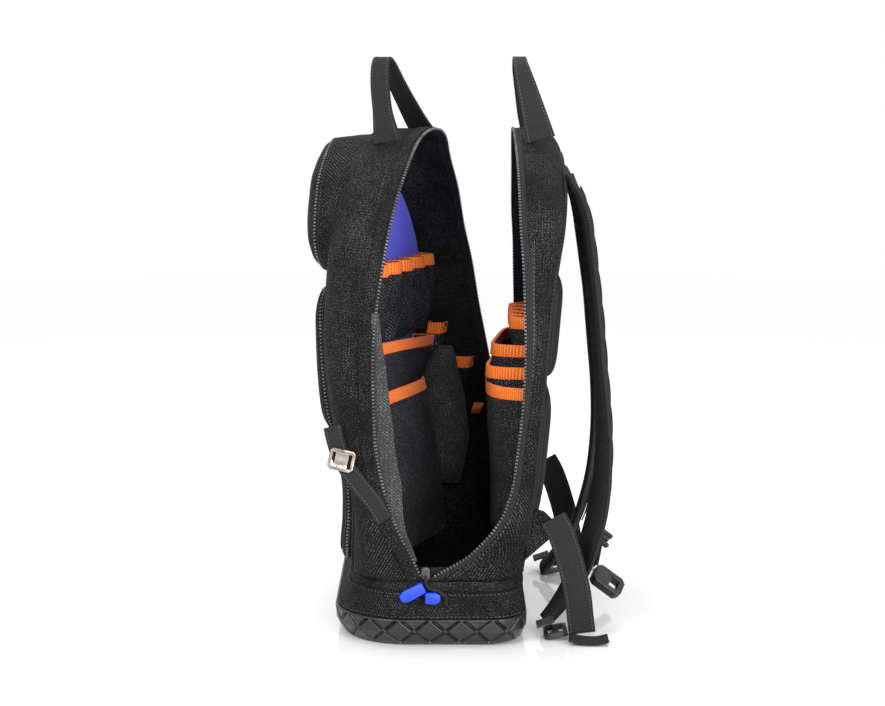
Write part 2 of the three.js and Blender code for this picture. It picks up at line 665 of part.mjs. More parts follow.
// Flat plate: outline and holes in its own plane, spread by two directions from a corner point
function plate(outline, holes, thickness, { at, right, up }) {
  const shape = new THREE.Shape(outline.map(([x, y]) => new THREE.Vector2(x, y)));
  for (const hole of holes) shape.holes.push(new THREE.Path(hole.map(([x, y]) => new THREE.Vector2(x, y))));
  const geometry = new THREE.ExtrudeGeometry(shape, { depth: thickness, bevelEnabled: false, curveSegments: 1 });
  geometry.translate(0, 0, -thickness / 2);
  const [r, u] = [right.clone().normalize(), up.clone().normalize()];
  const frame = new THREE.Matrix4().makeBasis(r, u, r.clone().cross(u)).setPosition(at);
  return geometry.applyMatrix4(frame);
}

function chamfered(width, height, cut) {
  const [x, y] = [width / 2, height / 2];
  return [
    [-x + cut, -y], [x - cut, -y], [x, -y + cut], [x, y - cut],
    [x - cut, y], [-x + cut, y], [-x, y - cut], [-x, -y + cut],
  ];
}

const slot = (width, height, x = 0, y = 0) => [
  [x - width / 2, y - height / 2], [x - width / 2, y + height / 2],
  [x + width / 2, y + height / 2], [x + width / 2, y - height / 2],
];

// Grab handles: webbing loops that stand on the crown of each half.
// across is a share of HANDLE_SPAN, rise a share of HANDLE_RISE, depth in millimetres from the panel.
const FRONT_HANDLE_STOPS = [
  { across: -0.52, rise: 0, lean: 0, width: 1.1 },
  { across: -0.52, rise: 0.36, lean: 0.6, width: 0.76 },
  { across: -0.53, rise: 0.68, lean: 0.95, width: 0.72 },
  { across: -0.52, rise: 0.9, lean: 1, width: 0.68 },
  { across: -0.46, rise: 1.0, lean: 1, width: 0.64 },
  { across: -0.34, rise: 0.94, lean: 1, width: 0.66 },
  { across: -0.14, rise: 0.72, lean: 0.9, width: 0.72 },
  { across: 0.08, rise: 0.47, lean: 0.6, width: 0.8 },
  { across: 0.3, rise: 0.23, lean: 0.3, width: 0.92 },
  { across: 0.52, rise: 0, lean: 0, width: 1.1 },
];
const BACK_HANDLE_STOPS = [
  { across: -0.52, rise: 0, lean: 0, width: 1.12 },
  { across: -0.5, rise: 0.36, lean: 0.34, width: 0.9 },
  { across: -0.44, rise: 0.7, lean: 0.72, width: 0.7 },
  { across: -0.34, rise: 0.92, lean: 0.95, width: 0.54 },
  { across: -0.2, rise: 1.0, lean: 1, width: 0.48 },
  { across: -0.04, rise: 0.97, lean: 1, width: 0.5 },
  { across: 0.14, rise: 0.86, lean: 0.9, width: 0.6 },
  { across: 0.32, rise: 0.62, lean: 0.65, width: 0.75 },
  { across: 0.46, rise: 0.3, lean: 0.32, width: 0.95 },
  { across: 0.52, rise: 0, lean: 0, width: 1.12 },
];

// drop is how far the crown has fallen away at the handle's feet
function handle(half, stopTable, { drop, foot, crest }) {
  const base = BAG_HEIGHT - drop;
  const stops = stopTable.map(({ across, rise, lean, width }) => {
    const u = across * HANDLE_SPAN;
    const w = mix(foot, crest, lean);
    const v = base + rise * (HANDLE_RISE + drop);
    const at = place(half, u, Math.min(v, BAG_HEIGHT), w);
    at.z = v;
    const forward = place(half, u, BAG_HEIGHT, w + 10).sub(place(half, u, BAG_HEIGHT, w));
    return { at, across: forward, width: width * WEBBING_WIDTH };
  });
  return ribbon(stops, { width: WEBBING_WIDTH, thickness: WEBBING + 1.4 });
}

add("front_handle", handle(FRONT, FRONT_HANDLE_STOPS, { drop: 11.4, foot: 46, crest: 40 }), "webbing");
add("back_handle", handle(BACK, BACK_HANDLE_STOPS, { drop: 9.5, foot: 20, crest: 38 }), "webbing");

// Back pads: foam under mesh, one above the other
const PADS = [
  { name: "back_pad_upper", foot: 238, top: 332, width: 200 },
  { name: "back_pad_lower", foot: 92, top: 224, width: 210 },
];

for (const { name, foot, top, width } of PADS) {
  const rings = [
    { inset: 38, out: 0 }, { inset: 0, out: 0 }, { inset: 0, out: 0.5 },
    { inset: 7, out: 0.94 }, { inset: 22, out: 1 },
  ];
  const middle = (foot + top) / 2;
  const rows = rings.map(({ inset, out }) => {
    const [x, y] = [width / 2 - inset, (top - foot) / 2 - inset];
    const cut = Math.min(22, y * 0.6);
    const points = [];
    for (const t of along(4)) points.push([mix(-x + cut, x - cut, t), -y]);
    for (const t of along(1)) points.push([x, mix(-y + cut, y - cut, t)]);
    for (const t of along(4)) points.push([mix(x - cut, -x + cut, t), y]);
    for (const t of along(1)) points.push([-x, mix(y - cut, -y + cut, t)]);
    return points.map(([u, v]) => place(BACK, u, middle + v, -PANEL_CLEARANCE - out * PAD_THICKNESS));
  });
  add(name, loft(rows), "mesh");
}

// Shoulder straps: padded, sewn high on the back and bowed out behind it, with their lower ends
// curled back to the floor. behind, up, across and width are shares of STRAP_BOW, BAG_HEIGHT,
// HALF_WIDTH and STRAP_WIDTH. tilt turns the strap's near edge outwards.
const STRAP_STOPS = [
  { behind: 0.644, up: 0.905, across: 0.2875, width: 0.84, tilt: 0 },
  { behind: 0.7, up: 0.884, across: 0.3, width: 0.88, tilt: 0.02 },
  { behind: 0.79, up: 0.855, across: 0.33125, width: 0.94, tilt: 0.07 },
  { behind: 0.87, up: 0.81, across: 0.375, width: 1, tilt: 0.1 },
  { behind: 0.95, up: 0.73, across: 0.425, width: 1, tilt: 0.08 },
  { behind: 1.03, up: 0.64, across: 0.46875, width: 1, tilt: 0.05 },
  { behind: 1.09, up: 0.54, across: 0.5125, width: 1, tilt: 0.05 },
  { behind: 1.15, up: 0.44, across: 0.54375, width: 1, tilt: 0.08 },
  { behind: 1.16, up: 0.35, across: 0.56875, width: 1, tilt: 0.12 },
  { behind: 1.1, up: 0.26, across: 0.5875, width: 1, tilt: 0.15 },
  { behind: 0.98, up: 0.19, across: 0.6, width: 0.98, tilt: 0.16 },
  { behind: 0.84, up: 0.135, across: 0.6125, width: 0.92, tilt: 0.16 },
  { behind: 0.66, up: 0.09, across: 0.625, width: 0.8, tilt: 0.14 },
  { behind: 0.46, up: 0.05, across: 0.6375, width: 0.66, tilt: 0.1 },
  { behind: 0.28, up: 0.022, across: 0.65, width: 0.56, tilt: 0.05 },
];
const strapStops = STRAP_STOPS.map(({ behind, up, across, width, tilt }) => ({
  at: vec(HALF_DEPTH + behind * STRAP_BOW, -across * HALF_WIDTH, up * BAG_HEIGHT),
  across: vec(-tilt, 1, 0),
  width: width * STRAP_WIDTH,
}));
const strapSize = { width: STRAP_WIDTH, thickness: STRAP_THICKNESS, edge: ROUND_EDGE };

// Webbing of each strap: sewn to a cloth wing at the side of the back, looped down to the floor and
// back to a ladder lock at the strap's end, with a free tail beyond it. Their places are measured
// back from the base's edge, HALF_DEPTH, and across from SIDE_LINE.
const SIDE_LINE = 0.8625 * HALF_WIDTH; // distance of the wings and webbings from the middle
const behindBase = (x, y, z) => vec(HALF_DEPTH + x, y, z);
const up = vec(0, 0, 1);
const behindDirection = vec(1, 0, 0);
const backAt = (z) => place(BACK, SIDE_LINE, z, 0).x + 2 * GAP;
const wingOutline = [
  [backAt(76), 76], [HALF_DEPTH + 14, 92], [HALF_DEPTH + 22, 99], [HALF_DEPTH + 27, 110],
  [HALF_DEPTH + 14, 123], [HALF_DEPTH + 7, 125], [backAt(122), 122], [backAt(99), 99],
];
const webbingStops = [
  { behind: 22, up: 117, tilt: [0.88, 0.47] },
  { behind: 29, up: 104, tilt: [0.92, 0.39] },
  { behind: 36, up: 84, tilt: [0.95, 0.31] },
  { behind: 42, up: 62, tilt: [0.96, 0.28] },
  { behind: 46, up: 42, tilt: [0.98, 0.2] },
  { behind: 48, up: 24, tilt: [1, 0.08] },
  { behind: 50, up: 8, tilt: [1, 0] },
];

// Stops of the near side as they are, or carried to the far side, where the strap hangs further back
function hung(stops, hand) {
  if (hand > 0) return stops;
  return mirrored(stops).map((stop) => {
    const shift = STRAP_FAR_SHIFT * (1 - stop.at.z / BAG_HEIGHT);
    return { ...stop, at: stop.at.setX(stop.at.x + shift) };
  });
}

const lockAt = behindBase(26, -SIDE_LINE + 14.8, 5);
const tailStops = [
  { at: behindBase(37.4, -SIDE_LINE - 7, 5), across: vec(0, 1, 0) },
  { at: behindBase(52, -SIDE_LINE - 8, 2.6), across: vec(0, 1, 0) },
  { at: behindBase(63, -SIDE_LINE - 8, 2.2), across: vec(0, 1, 0) },
  { at: behindBase(74, -SIDE_LINE - 8, 4.5), across: vec(0, 1, 0) },
];

for (const [side, hand] of [["near", 1], ["far", -1]]) {
  add(`strap_${side}`, ribbon(hung(strapStops, hand), strapSize), "mesh");
  add(
    `strap_wing_${side}`,
    plate(wingOutline, [], 2.4, { at: vec(0, -SIDE_LINE * hand, 0), right: behindDirection, up }),
    "cloth",
  );
  const webbing = webbingStops.map(({ behind, up: height, tilt }) => ({
    at: behindBase(behind, -SIDE_LINE - 2.8, height),
    across: vec(tilt[0], 0, tilt[1]),
  }));
  add(`strap_webbing_${side}`, ribbon(hung(webbing, hand), { width: WEBBING_WIDTH, thickness: WEBBING }), "webbing");
  add(
    `ladder_lock_${side}`,
    plate(chamfered(22, 32, 4), [slot(4, 25.4, -5), slot(4, 25, 5)], 5, {
      at: hung([{ at: lockAt, across: up }], hand)[0].at, right: vec(1, 0, 0.18), up: vec(0, 1, 0),
    }),
    "plastic",
  );
  add(`strap_tail_${side}`, ribbon(hung(tailStops, hand), { width: WEBBING_WIDTH, thickness: WEBBING }), "webbing");
}

// Chest strap: thin webbing from each shoulder strap, with the two halves of its buckle
const chestStops = [
  { at: behindBase(71.7, -0.5 * HALF_WIDTH, 113), across: vec(0, 1, 0) },
  { at: behindBase(72.6, -0.50625 * HALF_WIDTH, 98), across: vec(0, 1, 0) },
  { at: behindBase(70.1, -0.525 * HALF_WIDTH, 78), across: vec(0, 1, 0) },
  { at: behindBase(66.2, -0.55 * HALF_WIDTH, 59.6), across: vec(0, 1, 0) },
];
const CHEST_WIDTH = 19;
add("chest_webbing_near", ribbon(chestStops, { width: CHEST_WIDTH, thickness: WEBBING }), "webbing");
add("chest_webbing_far", ribbon(hung(chestStops, -1), { width: CHEST_WIDTH, thickness: WEBBING }), "webbing");

const buckleFrame = (hand, at) => ({
  at: hung([{ at, across: up }], hand)[0].at,
  right: vec(0.8, 0, -0.6),
  up: vec(0.344, 0.819, 0.459),
});
add("chest_buckle_socket", plate(chamfered(32, 22, 4), [slot(9, 12, 6)], 9, buckleFrame(1, behindBase(76.3, -0.5875 * HALF_WIDTH, 45))), "plastic");
const prong = [
  [-16, -10], [-6, -10], [-6, -9], [14, -9], [16, -7], [14, -5], [-2, -5], [-2, -2], [13, -2], [13, 2], [-2, 2],
  [-2, 5], [14, 5], [16, 7], [14, 9], [-6, 9], [-6, 10], [-16, 10],
];
add("chest_buckle_prong", plate(prong, [slot(3, 14, -10)], 5, buckleFrame(-1, behindBase(74, -0.5875 * HALF_WIDTH, 48.2))), "plastic");

// Strap and metal clip on the near side wall of the front half
const wallPoint = (off, v, w) => place(FRONT, -HALF_WIDTH - off, v, w);
const clipStops = [[206, 3], [190, 1], [174, 2], [156, 9], [138, 20], [120, 30]].map(([v, w]) => ({
  at: wallPoint(2.6, v, w),
  across: vec(1, 0, 0),
}));
add("side_strap", ribbon(clipStops, { width: 16, thickness: WEBBING }), "webbing");
add(
  "side_clip",
  plate(chamfered(24, 20, 3), [slot(18, 13)], 2.6, {
    at: wallPoint(6.2, 176, 2), right: vec(0.97, 0, -0.22), up: vec(0.22, 0, 0.97),
  }),
  "metal",
);

// Zip slider with its cord and two moulded pull tabs, hanging at the near side
const pullFace = -BASE_WIDTH / 2 - 0.8;
const upright = { right: behindDirection, up };
add("zip_slider", plate(chamfered(8, 12, 2), [], 4, { at: vec(-5, -HALF_WIDTH - 2, SEAM + 7.7), ...upright }), "metal");
const tab = (length) => [
  [-length / 2, -5], [length / 2 - 5, -5.5], [length / 2, -3], [length / 2, 3], [length / 2 - 5, 5.5], [-length / 2, 5],
];
add("pull_tab_long", plate(tab(24), [], 5, { at: vec(-17.2, pullFace - 0.6, 52.5), right: vec(-0.88, 0, -0.47), up: vec(0.47, 0, -0.88) }), "pull");
add("pull_tab_short", plate(tab(14), [], 5, { at: vec(1.5, pullFace - 0.6, 47.7), right: vec(1, 0, 0), up }), "pull");
const cordStops = [[-5, 68], [-4, 60], [-1, 56.5], [6, 54.5], [13, 49], [14, 41]].map(([x, z]) => ({
  at: vec(x, pullFace, z), across: vec(0, 1, 0),
}));
add("pull_cord", ribbon(cordStops, { width: 2.6, thickness: 2.6, edge: SQUARE_EDGE }), "webbing");

// Padded pouch that leans on the far side wall of the front half
const pouchLevels = [
  { v: 96, from: 44, to: 92 }, { v: 146, from: 34, to: 86 }, { v: 190, from: 22, to: 68 },
  { v: 216, from: 20, to: 54 }, { v: 232, from: 26, to: 48 }, { v: 240, from: 32, to: 43 },
];
const POUCH_THICKNESS = 14;
const pouchFace = HALF_WIDTH - 18.7;
add(
  "padded_pouch",
  loft(pouchLevels.map(({ v, from, to }) => {
    const [u0, u1, cut] = [pouchFace - POUCH_THICKNESS, pouchFace, 4];
    return [
      [u0, from + cut], [u0, to - cut], [u0 + cut, to], [u1 - cut, to], [u1, to - cut], [u1, from + cut], [u1 - cut, from], [u0 + cut, from],
    ].map(([u, w]) => place(FRONT, u, v, w));
  })),
  "cloth",
);

export default bag;
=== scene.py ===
# %% [markdown]
# # A tool backpack that stands open
# The bag is two cloth halves on one rubber foot. They part like a clam, so the orange-bound pockets
# inside show. Almost everything on it is sewn cloth, so most of this lesson is about laying flat
# grids of faces on curved forms, and then sewing, piping and binding their edges.

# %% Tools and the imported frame
import math

import bpy
import numpy as np
from mathutils import Matrix, Vector, noise


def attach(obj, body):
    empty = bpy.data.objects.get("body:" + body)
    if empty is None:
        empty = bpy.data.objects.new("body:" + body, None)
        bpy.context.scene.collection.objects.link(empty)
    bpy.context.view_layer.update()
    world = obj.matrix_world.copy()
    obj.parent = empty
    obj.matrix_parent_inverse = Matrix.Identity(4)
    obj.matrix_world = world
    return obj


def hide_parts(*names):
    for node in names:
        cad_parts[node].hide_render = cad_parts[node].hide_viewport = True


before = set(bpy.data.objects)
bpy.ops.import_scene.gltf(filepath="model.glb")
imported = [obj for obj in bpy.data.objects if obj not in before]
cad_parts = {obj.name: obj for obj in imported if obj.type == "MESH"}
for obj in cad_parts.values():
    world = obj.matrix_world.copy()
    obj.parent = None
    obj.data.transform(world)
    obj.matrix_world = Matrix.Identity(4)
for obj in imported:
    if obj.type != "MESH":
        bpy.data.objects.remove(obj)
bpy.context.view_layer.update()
MM = 0.001

# %% [markdown]
# ## Camera
# The photograph looks at the near side from a little above the bag. The camera stands two metres off,
# and a long lens keeps the upright lines upright. The picture is 885 pixels wide, so a focal length
# in pixels is turned into millimetres on a 36 mm sensor. The Standard view keeps white ground white.

# %% Camera
FOCAL_PIXELS = 2134
PICTURE_PIXELS = 885
SENSOR = 36
LOOKS_DOWN = 8.2
bpy.ops.object.camera_add(location=(0.01035, -2.065, 0.548), rotation=(math.radians(90 - LOOKS_DOWN), 0, 0))
camera = bpy.context.object
camera.data.sensor_width = SENSOR
camera.data.lens = FOCAL_PIXELS * SENSOR / PICTURE_PIXELS
bpy.context.scene.camera = camera
bpy.context.scene.view_settings.view_transform = "Standard"
print("lens", round(camera.data.lens, 1), "mm")

# %% [markdown]
# ## Measures of the bag
# The two halves are drawn by a table of sections, read at any height as a smooth curve. A place on a
# half is given by three lengths: u across from near to far, v up, and w from the panel towards the
# opening. Sewing patterns work the same way, and every pocket can then be placed on its panel. The
# columns of a table are the share of the height, how far out the panel stands, its twist in degrees,
# how deep the near and far sides are, and the radius of the corner. The lengths among them are shares
# of the bag's half depth.

# %% Sections of the halves
SEAM = 62.3 * MM
HEIGHT = 470 * MM
RISE = HEIGHT - SEAM
HALF_WIDTH = 160 * MM
HALF_DEPTH = 90 * MM
CROWN_RISE = 220 * MM
SPRING = HEIGHT - CROWN_RISE
ZIP_WIDTH = 8 * MM
WALL = 2.6 * MM
SIDE_ROWS = 7
CROWN_ROWS = 8
ARCH_ROWS = SIDE_ROWS + CROWN_ROWS


def table(text):
    rows = [[float(value) for value in line.split()] for line in text.split("\n") if line.strip()]
    return dict(zip(("at", "panel", "twist", "near", "far", "corner"), np.array(rows).T))


FRONT = {"facing": 1, "bulge": 7 * MM, "sections": table("""
0 -.82 0 .75 .75 .55
.03 -.8 .45 .687 .935 .485
.06 -.78 1 .62 1.11 .42
.12 -.72 2.5 .47 1.245 .34
.2 -.67 4.8 .37 1.3 .29
.3 -.65 9.5 .41 1.15 .28
.36 -.645 12.6 .49 1 .28
.45 -.63 15.5 .56 .82 .28
.55 -.61 17.5 .61 .66 .28
.66 -.6 18.5 .66 .57 .28
.75 -.62 18.8 .71 .54 .29
.84 -.66 19 .77 .59 .31
.93 -.72 19 .84 .68 .33
1 -.75 19 .84 .84 .34""")}
BACK = {"facing": -1, "bulge": 4 * MM, "sections": table("""
0 .93 0 1 1 .34
.03 .945 0 .78 .78 .32
.06 .96 0 .58 .58 .28
.13 1 0 .34 .34 .16
.2 1.04 0 .25 .25 .11
.3 1.08 0 .22 .22 .1
.41 1.13 0 .22 .22 .1
.52 1.17 0 .24 .24 .11
.63 1.22 0 .3 .3 .13
.71 1.28 0 .37 .37 .15
.78 1.34 0 .45 .45 .18
.86 1.38 0 .5 .5 .22
.93 1.38 0 .51 .51 .26
1 1.35 0 .5 .5 .28""")}


def mix(a, b, share):
    return a + (b - a) * share


def read(half, column, v):
    """One column of a half's table at a height, along a smooth curve through its rows."""
    knots, values = half["sections"]["at"], half["sections"][column]
    at = np.clip((np.asarray(v) - SEAM) / RISE, 0, 1)
    order = np.arange(len(knots))
    before, after = np.maximum(order - 1, 0), np.minimum(order + 1, len(knots) - 1)
    slopes = (values[after] - values[before]) / (knots[after] - knots[before])
    k = np.clip(np.searchsorted(knots, at), 1, len(knots) - 1)
    span = knots[k] - knots[k - 1]
    t = np.clip((at - knots[k - 1]) / span, 0, 1)
    rise = (3 - 2 * t) * t * t
    return (mix(values[k - 1], values[k], rise) + span * ((t - 1) ** 2 * t * slopes[k - 1]
                                                          + (t - 1) * t * t * slopes[k]))


def place(half, u, v, w):
    """The point that is u across, v up and w in from the panel of a half, whose middle bulges out."""
    u, v, w = np.broadcast_arrays(*(np.asarray(value, dtype=float) for value in (u, v, w)))
    at = np.clip((v - SEAM) / RISE, 0, 1)
    twist = np.radians(read(half, "twist", v))
    fade = np.maximum(np.sin(np.pi * np.clip(at * 1.1, 0, 1)), 0) ** 0.7
    crown = half["bulge"] * fade * np.maximum(0, 1 - (u / HALF_WIDTH) ** 2) * np.clip(1 - w / (20 * MM), 0, 1)
    out = half["facing"] * (w - crown)
    x = read(half, "panel", v) * HALF_DEPTH + out * np.cos(twist) + u * np.sin(twist)
    return np.stack([x, u * np.cos(twist) - out * np.sin(twist), v], axis=-1)


def arch(row, inset=0.0):
    """Half width and height of the outline: upright rows first, then rows round the crown."""
    row = np.asarray(row, dtype=float)
    angle = np.radians(90 * np.maximum(row - SIDE_ROWS, 0) / CROWN_ROWS)
    across, upward = np.cos(angle) / HALF_WIDTH, np.sin(angle) / CROWN_RISE
    length = np.hypot(across, upward)
    rise = (np.minimum(row, SIDE_ROWS) / SIDE_ROWS) ** 1.5
    v = np.where(row <= SIDE_ROWS, mix(SEAM, SPRING, rise), SPRING + CROWN_RISE * np.sin(angle))
    return HALF_WIDTH * np.cos(angle) - inset * across / length, v - inset * upward / length


def rim_depth(half, side, v):
    return np.where(np.asarray(side) < 0, read(half, "near", v), read(half, "far", v)) * HALF_DEPTH


def added_up(gaps):
    """How far each point of a line lies from its start, from the gaps between the points."""
    return np.concatenate([[0], np.cumsum(gaps)])


def side_and_row(rows):
    return np.where(rows <= ARCH_ROWS, -1.0, 1.0), ARCH_ROWS - np.abs(rows - ARCH_ROWS)


all_rows = np.linspace(0, 2 * ARCH_ROWS, 4001)
all_sides, arch_rows = side_and_row(all_rows)
across, upward = arch(arch_rows)
row_lengths = added_up(np.hypot(np.diff(all_sides * across), np.diff(upward)))
ARCH_LENGTH = row_lengths[-1]


def walk(share):
    """Side and row at a share of the way from the near foot over the crown to the far foot."""
    return side_and_row(np.interp(np.asarray(share) * ARCH_LENGTH, row_lengths, all_rows))


print("length of the arch", round(float(ARCH_LENGTH), 3), "m")

# %% [markdown]
# ## Helpers for cloth
# A sheet of cloth starts as a grid primitive, which already has a UV map. Each of its points is then
# moved to its place, and the UV map is rewritten in real metres, so that a weave keeps its scale and
# follows the threads. Operators act on all that is selected, so each helper deselects first.

# %% Helpers for cloth
def only(piece):
    bpy.ops.object.select_all(action="DESELECT")
    piece.select_set(True)
    bpy.context.view_layer.objects.active = piece


def in_edit(piece, *steps):
    only(piece)
    bpy.ops.object.mode_set(mode="EDIT")
    bpy.ops.mesh.select_all(action="SELECT")
    for step in steps:
        step()
    bpy.ops.object.mode_set(mode="OBJECT")


def modify(piece, kind, **settings):
    only(piece)
    modifier = piece.modifiers.new(kind.title(), kind)
    for name, value in settings.items():
        setattr(modifier, name, value)
    bpy.ops.object.modifier_apply(modifier=modifier.name)


def points_of(piece):
    flat = np.empty(len(piece.data.vertices) * 3)
    piece.data.vertices.foreach_get("co", flat)
    return flat.reshape(-1, 3)


def move_points(piece, points):
    piece.data.vertices.foreach_set("co", np.ascontiguousarray(points).ravel())
    piece.data.update()


def normals_of(piece):
    flat = np.empty(len(piece.data.vertices) * 3)
    piece.data.vertex_normals.foreach_get("vector", flat)
    return flat.reshape(-1, 3)


def face_away(piece, inside):
    """Turns the faces of an open sheet away from a point or from a line of points."""
    mesh = piece.data
    normals, centres, areas = (np.empty(len(mesh.polygons) * k) for k in (3, 3, 1))
    mesh.polygons.foreach_get("normal", normals)
    mesh.polygons.foreach_get("center", centres)
    mesh.polygons.foreach_get("area", areas)
    away = centres.reshape(-1, 3) - np.asarray(inside)
    if float((np.einsum("ij,ij->i", normals.reshape(-1, 3), away) * areas).sum()) < 0:
        in_edit(piece, bpy.ops.mesh.flip_normals)


def lay_sheet(name, columns, rows, shape, cloth, inside, thickness=0.0, merge=True, smooth=50):
    """A grid whose points s, t from 0 to 1 are laid at shape(s, t), with its weave at cloth(s, t)."""
    bpy.ops.object.select_all(action="DESELECT")
    bpy.ops.mesh.primitive_grid_add(x_subdivisions=columns, y_subdivisions=rows, size=1)
    piece = bpy.context.object
    piece.name = piece.data.name = name
    mesh = piece.data
    flat = points_of(piece)
    s, t = flat[:, 0] + 0.5, flat[:, 1] + 0.5
    move_points(piece, shape(s, t))
    corners = np.empty(len(mesh.loops), dtype=np.int32)
    mesh.loops.foreach_get("vertex_index", corners)
    sc, tc = s[corners].reshape(-1, 4), t[corners].reshape(-1, 4)
    face = np.broadcast_to(tc.mean(axis=1, keepdims=True), tc.shape)
    uv = np.stack(np.broadcast_arrays(*cloth(sc, tc, face)), axis=-1)
    mesh.uv_layers[0].name = "cloth"
    mesh.uv_layers[0].data.foreach_set("uv", np.ascontiguousarray(uv, dtype=float).ravel())
    if merge:
        in_edit(piece, lambda: bpy.ops.mesh.remove_doubles(threshold=2e-5))
    if inside is not None:
        face_away(piece, inside)
    if thickness:
        modify(piece, "SOLIDIFY", thickness=thickness, offset=-1, use_rim=True)
    if smooth:
        only(piece)
        bpy.ops.object.shade_smooth_by_angle(angle=math.radians(smooth))
    return piece


def ruffle(piece, amount, size, seed=0.0, stretch=(1, 1, 1), fade=None):
    """Moves the cloth in and out by smooth noise, the same on every run."""
    points = points_of(piece)
    lift = np.array([noise.noise(Vector((p[0] / size / stretch[0] + seed, p[1] / size / stretch[1],
                                         p[2] / size / stretch[2]))) for p in points])
    if fade is not None:
        lift *= fade(points)
    move_points(piece, points + normals_of(piece) * (lift * amount)[:, None])


made = {}


def belongs(piece, finish, *nodes):
    """Parents a finished piece to its body, notes it under its finish, whose material is given later, and hides the
    CAD nodes that it stands for.
    """
    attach(piece, "root")
    if nodes:
        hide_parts(*nodes)
    made.setdefault(finish, []).append(piece)
    print(piece.name, len(piece.data.polygons), "faces")
    return piece


# %% [markdown]
# ## Helpers for piping, stitches and teeth
# Piping is a cord sewn into a seam, so it is a round tube along the seam's line. A stitch, a tooth
# of the zip or a diamond of the tread is modelled once and then copied along a path, all the copies
# in one mesh, because hundreds of objects would be slow to handle.

# %% Helpers for piping and repeated parts
def piping(name, points, radius, closed=False, sides=3):
    """A round tube along a line of points."""
    bpy.ops.object.select_all(action="DESELECT")
    curve = bpy.data.curves.new(name, "CURVE")
    curve.dimensions = "3D"
    curve.bevel_depth = radius
    curve.bevel_resolution = sides
    curve.use_fill_caps = not closed
    line = curve.splines.new("POLY")
    line.points.add(len(points) - 1)
    line.points.foreach_set("co", np.c_[points, np.ones(len(points))].ravel())
    line.use_cyclic_u = closed
    piece = bpy.data.objects.new(name, curve)
    bpy.context.collection.objects.link(piece)
    only(piece)
    bpy.ops.object.convert(target="MESH")
    piece = bpy.context.object
    piece.name = piece.data.name = name
    bpy.ops.object.shade_smooth_by_angle(angle=math.radians(60))
    return piece


def repeat(name, part, frames):
    """One mesh of copies of a part, each in a frame of four rows: its place and its x, y and z."""
    frames = np.asarray(frames)
    points = points_of(part)
    sizes = [len(face.vertices) for face in part.data.polygons]
    faces = [list(face.vertices) for face in part.data.polygons]
    placed = frames[:, None, 0] + np.einsum("pk,nkj->npj", points, frames[:, 1:])
    mesh = bpy.data.meshes.new(name)
    count = len(points)
    corners = np.concatenate([np.array(sum(faces, [])) + k * count for k in range(len(frames))])
    starts = added_up(np.tile(sizes, len(frames)))[:-1]
    mesh.vertices.add(count * len(frames))
    mesh.vertices.foreach_set("co", placed.ravel())
    mesh.loops.add(len(corners))
    mesh.loops.foreach_set("vertex_index", corners.astype(np.int32))
    mesh.polygons.add(len(starts))
    mesh.polygons.foreach_set("loop_start", starts.astype(np.int32))
    mesh.update(calc_edges=True)
    mesh.validate()
    piece = bpy.data.objects.new(name, mesh)
    bpy.context.collection.objects.link(piece)
    only(piece)
    bpy.ops.object.shade_smooth_by_angle(angle=math.radians(40))
    return piece


def unit(vectors):
    return vectors / np.maximum(np.linalg.norm(vectors, axis=-1, keepdims=True), 1e-9)


def frames_along(points, normals, pitch, start=0.5):
    """Frames every pitch along a line: x along it, z out of the cloth."""
    length = added_up(np.linalg.norm(np.diff(points, axis=0), axis=1))
    stops = np.arange(start * pitch, length[-1] - 0.4 * pitch, pitch)

    def at(where, rows):
        return np.stack([np.interp(where, length, rows[:, k]) for k in range(3)], axis=1)

    out = unit(at(stops, normals))
    run = unit(at(stops + pitch * 0.3, points) - at(stops - pitch * 0.3, points))
    run = unit(run - out * np.sum(run * out, axis=1, keepdims=True))
    return np.stack([at(stops, points), run, np.cross(out, run), out], axis=1)


def surface_line(shape, s, t, lift=0.0, step=1e-3):
    """Points on a laid surface and the directions out of it, for stitches and piping."""
    s, t = np.broadcast_arrays(np.asarray(s, dtype=float), np.asarray(t, dtype=float))
    at = shape(s, t)
    ds = shape(np.clip(s + step, 0, 1), t) - shape(np.clip(s - step, 0, 1), t)
    dt = shape(s, np.clip(t + step, 0, 1)) - shape(s, np.clip(t - step, 0, 1))
    out = unit(np.cross(ds, dt))
    return at + out * lift, out


bpy.ops.mesh.primitive_ico_sphere_add(subdivisions=1, radius=1)
stitch = bpy.context.object
stitch.name = "one_stitch"
stitch.data.transform(Matrix.Diagonal((1.45 * MM, 0.42 * MM, 0.36 * MM, 1)))
seams = {"cloth": [], "binding": []}


def sew(points, normals, thread="cloth", pitch=4.1 * MM):
    """Notes a row of stitches, which are all made at the end, each thread as one piece."""
    seams[thread].append(frames_along(points, normals, pitch))


# %% [markdown]
# ## The two halves
# Each half is sewn from a long gusset, which runs up one side, over the crown and down the other, and
# a panel that closes it. They are modelled as they are cut: the gusset is a strip that turns a round
# corner into the panel, and piping covers the seam where they meet. Solidify gives the padded wall.

# %% Gussets and panels
STRAIGHT = 0.6
ROUND_LENGTH = 2.36
PROUD = 0.3 * MM


def gusset(half):
    """Up to a share STRAIGHT of its width the strip runs level, and then it turns into the panel."""
    def shape(s, t):
        side, row = walk(s)
        base_v = arch(row)[1]
        corner = np.maximum(read(half, "corner", base_v) * HALF_DEPTH, 5 * MM)
        rim = rim_depth(half, side, base_v) - ZIP_WIDTH
        turn = np.radians(90) * np.clip((t - STRAIGHT) / (1 - STRAIGHT), 0, 1)
        w = np.where(t < STRAIGHT, mix(rim, corner, t / STRAIGHT), corner * (1 - np.sin(turn)))
        u, v = arch(row, np.where(t < STRAIGHT, 0, corner * (1 - np.cos(turn))))
        return place(half, side * u, v, w)
    return shape


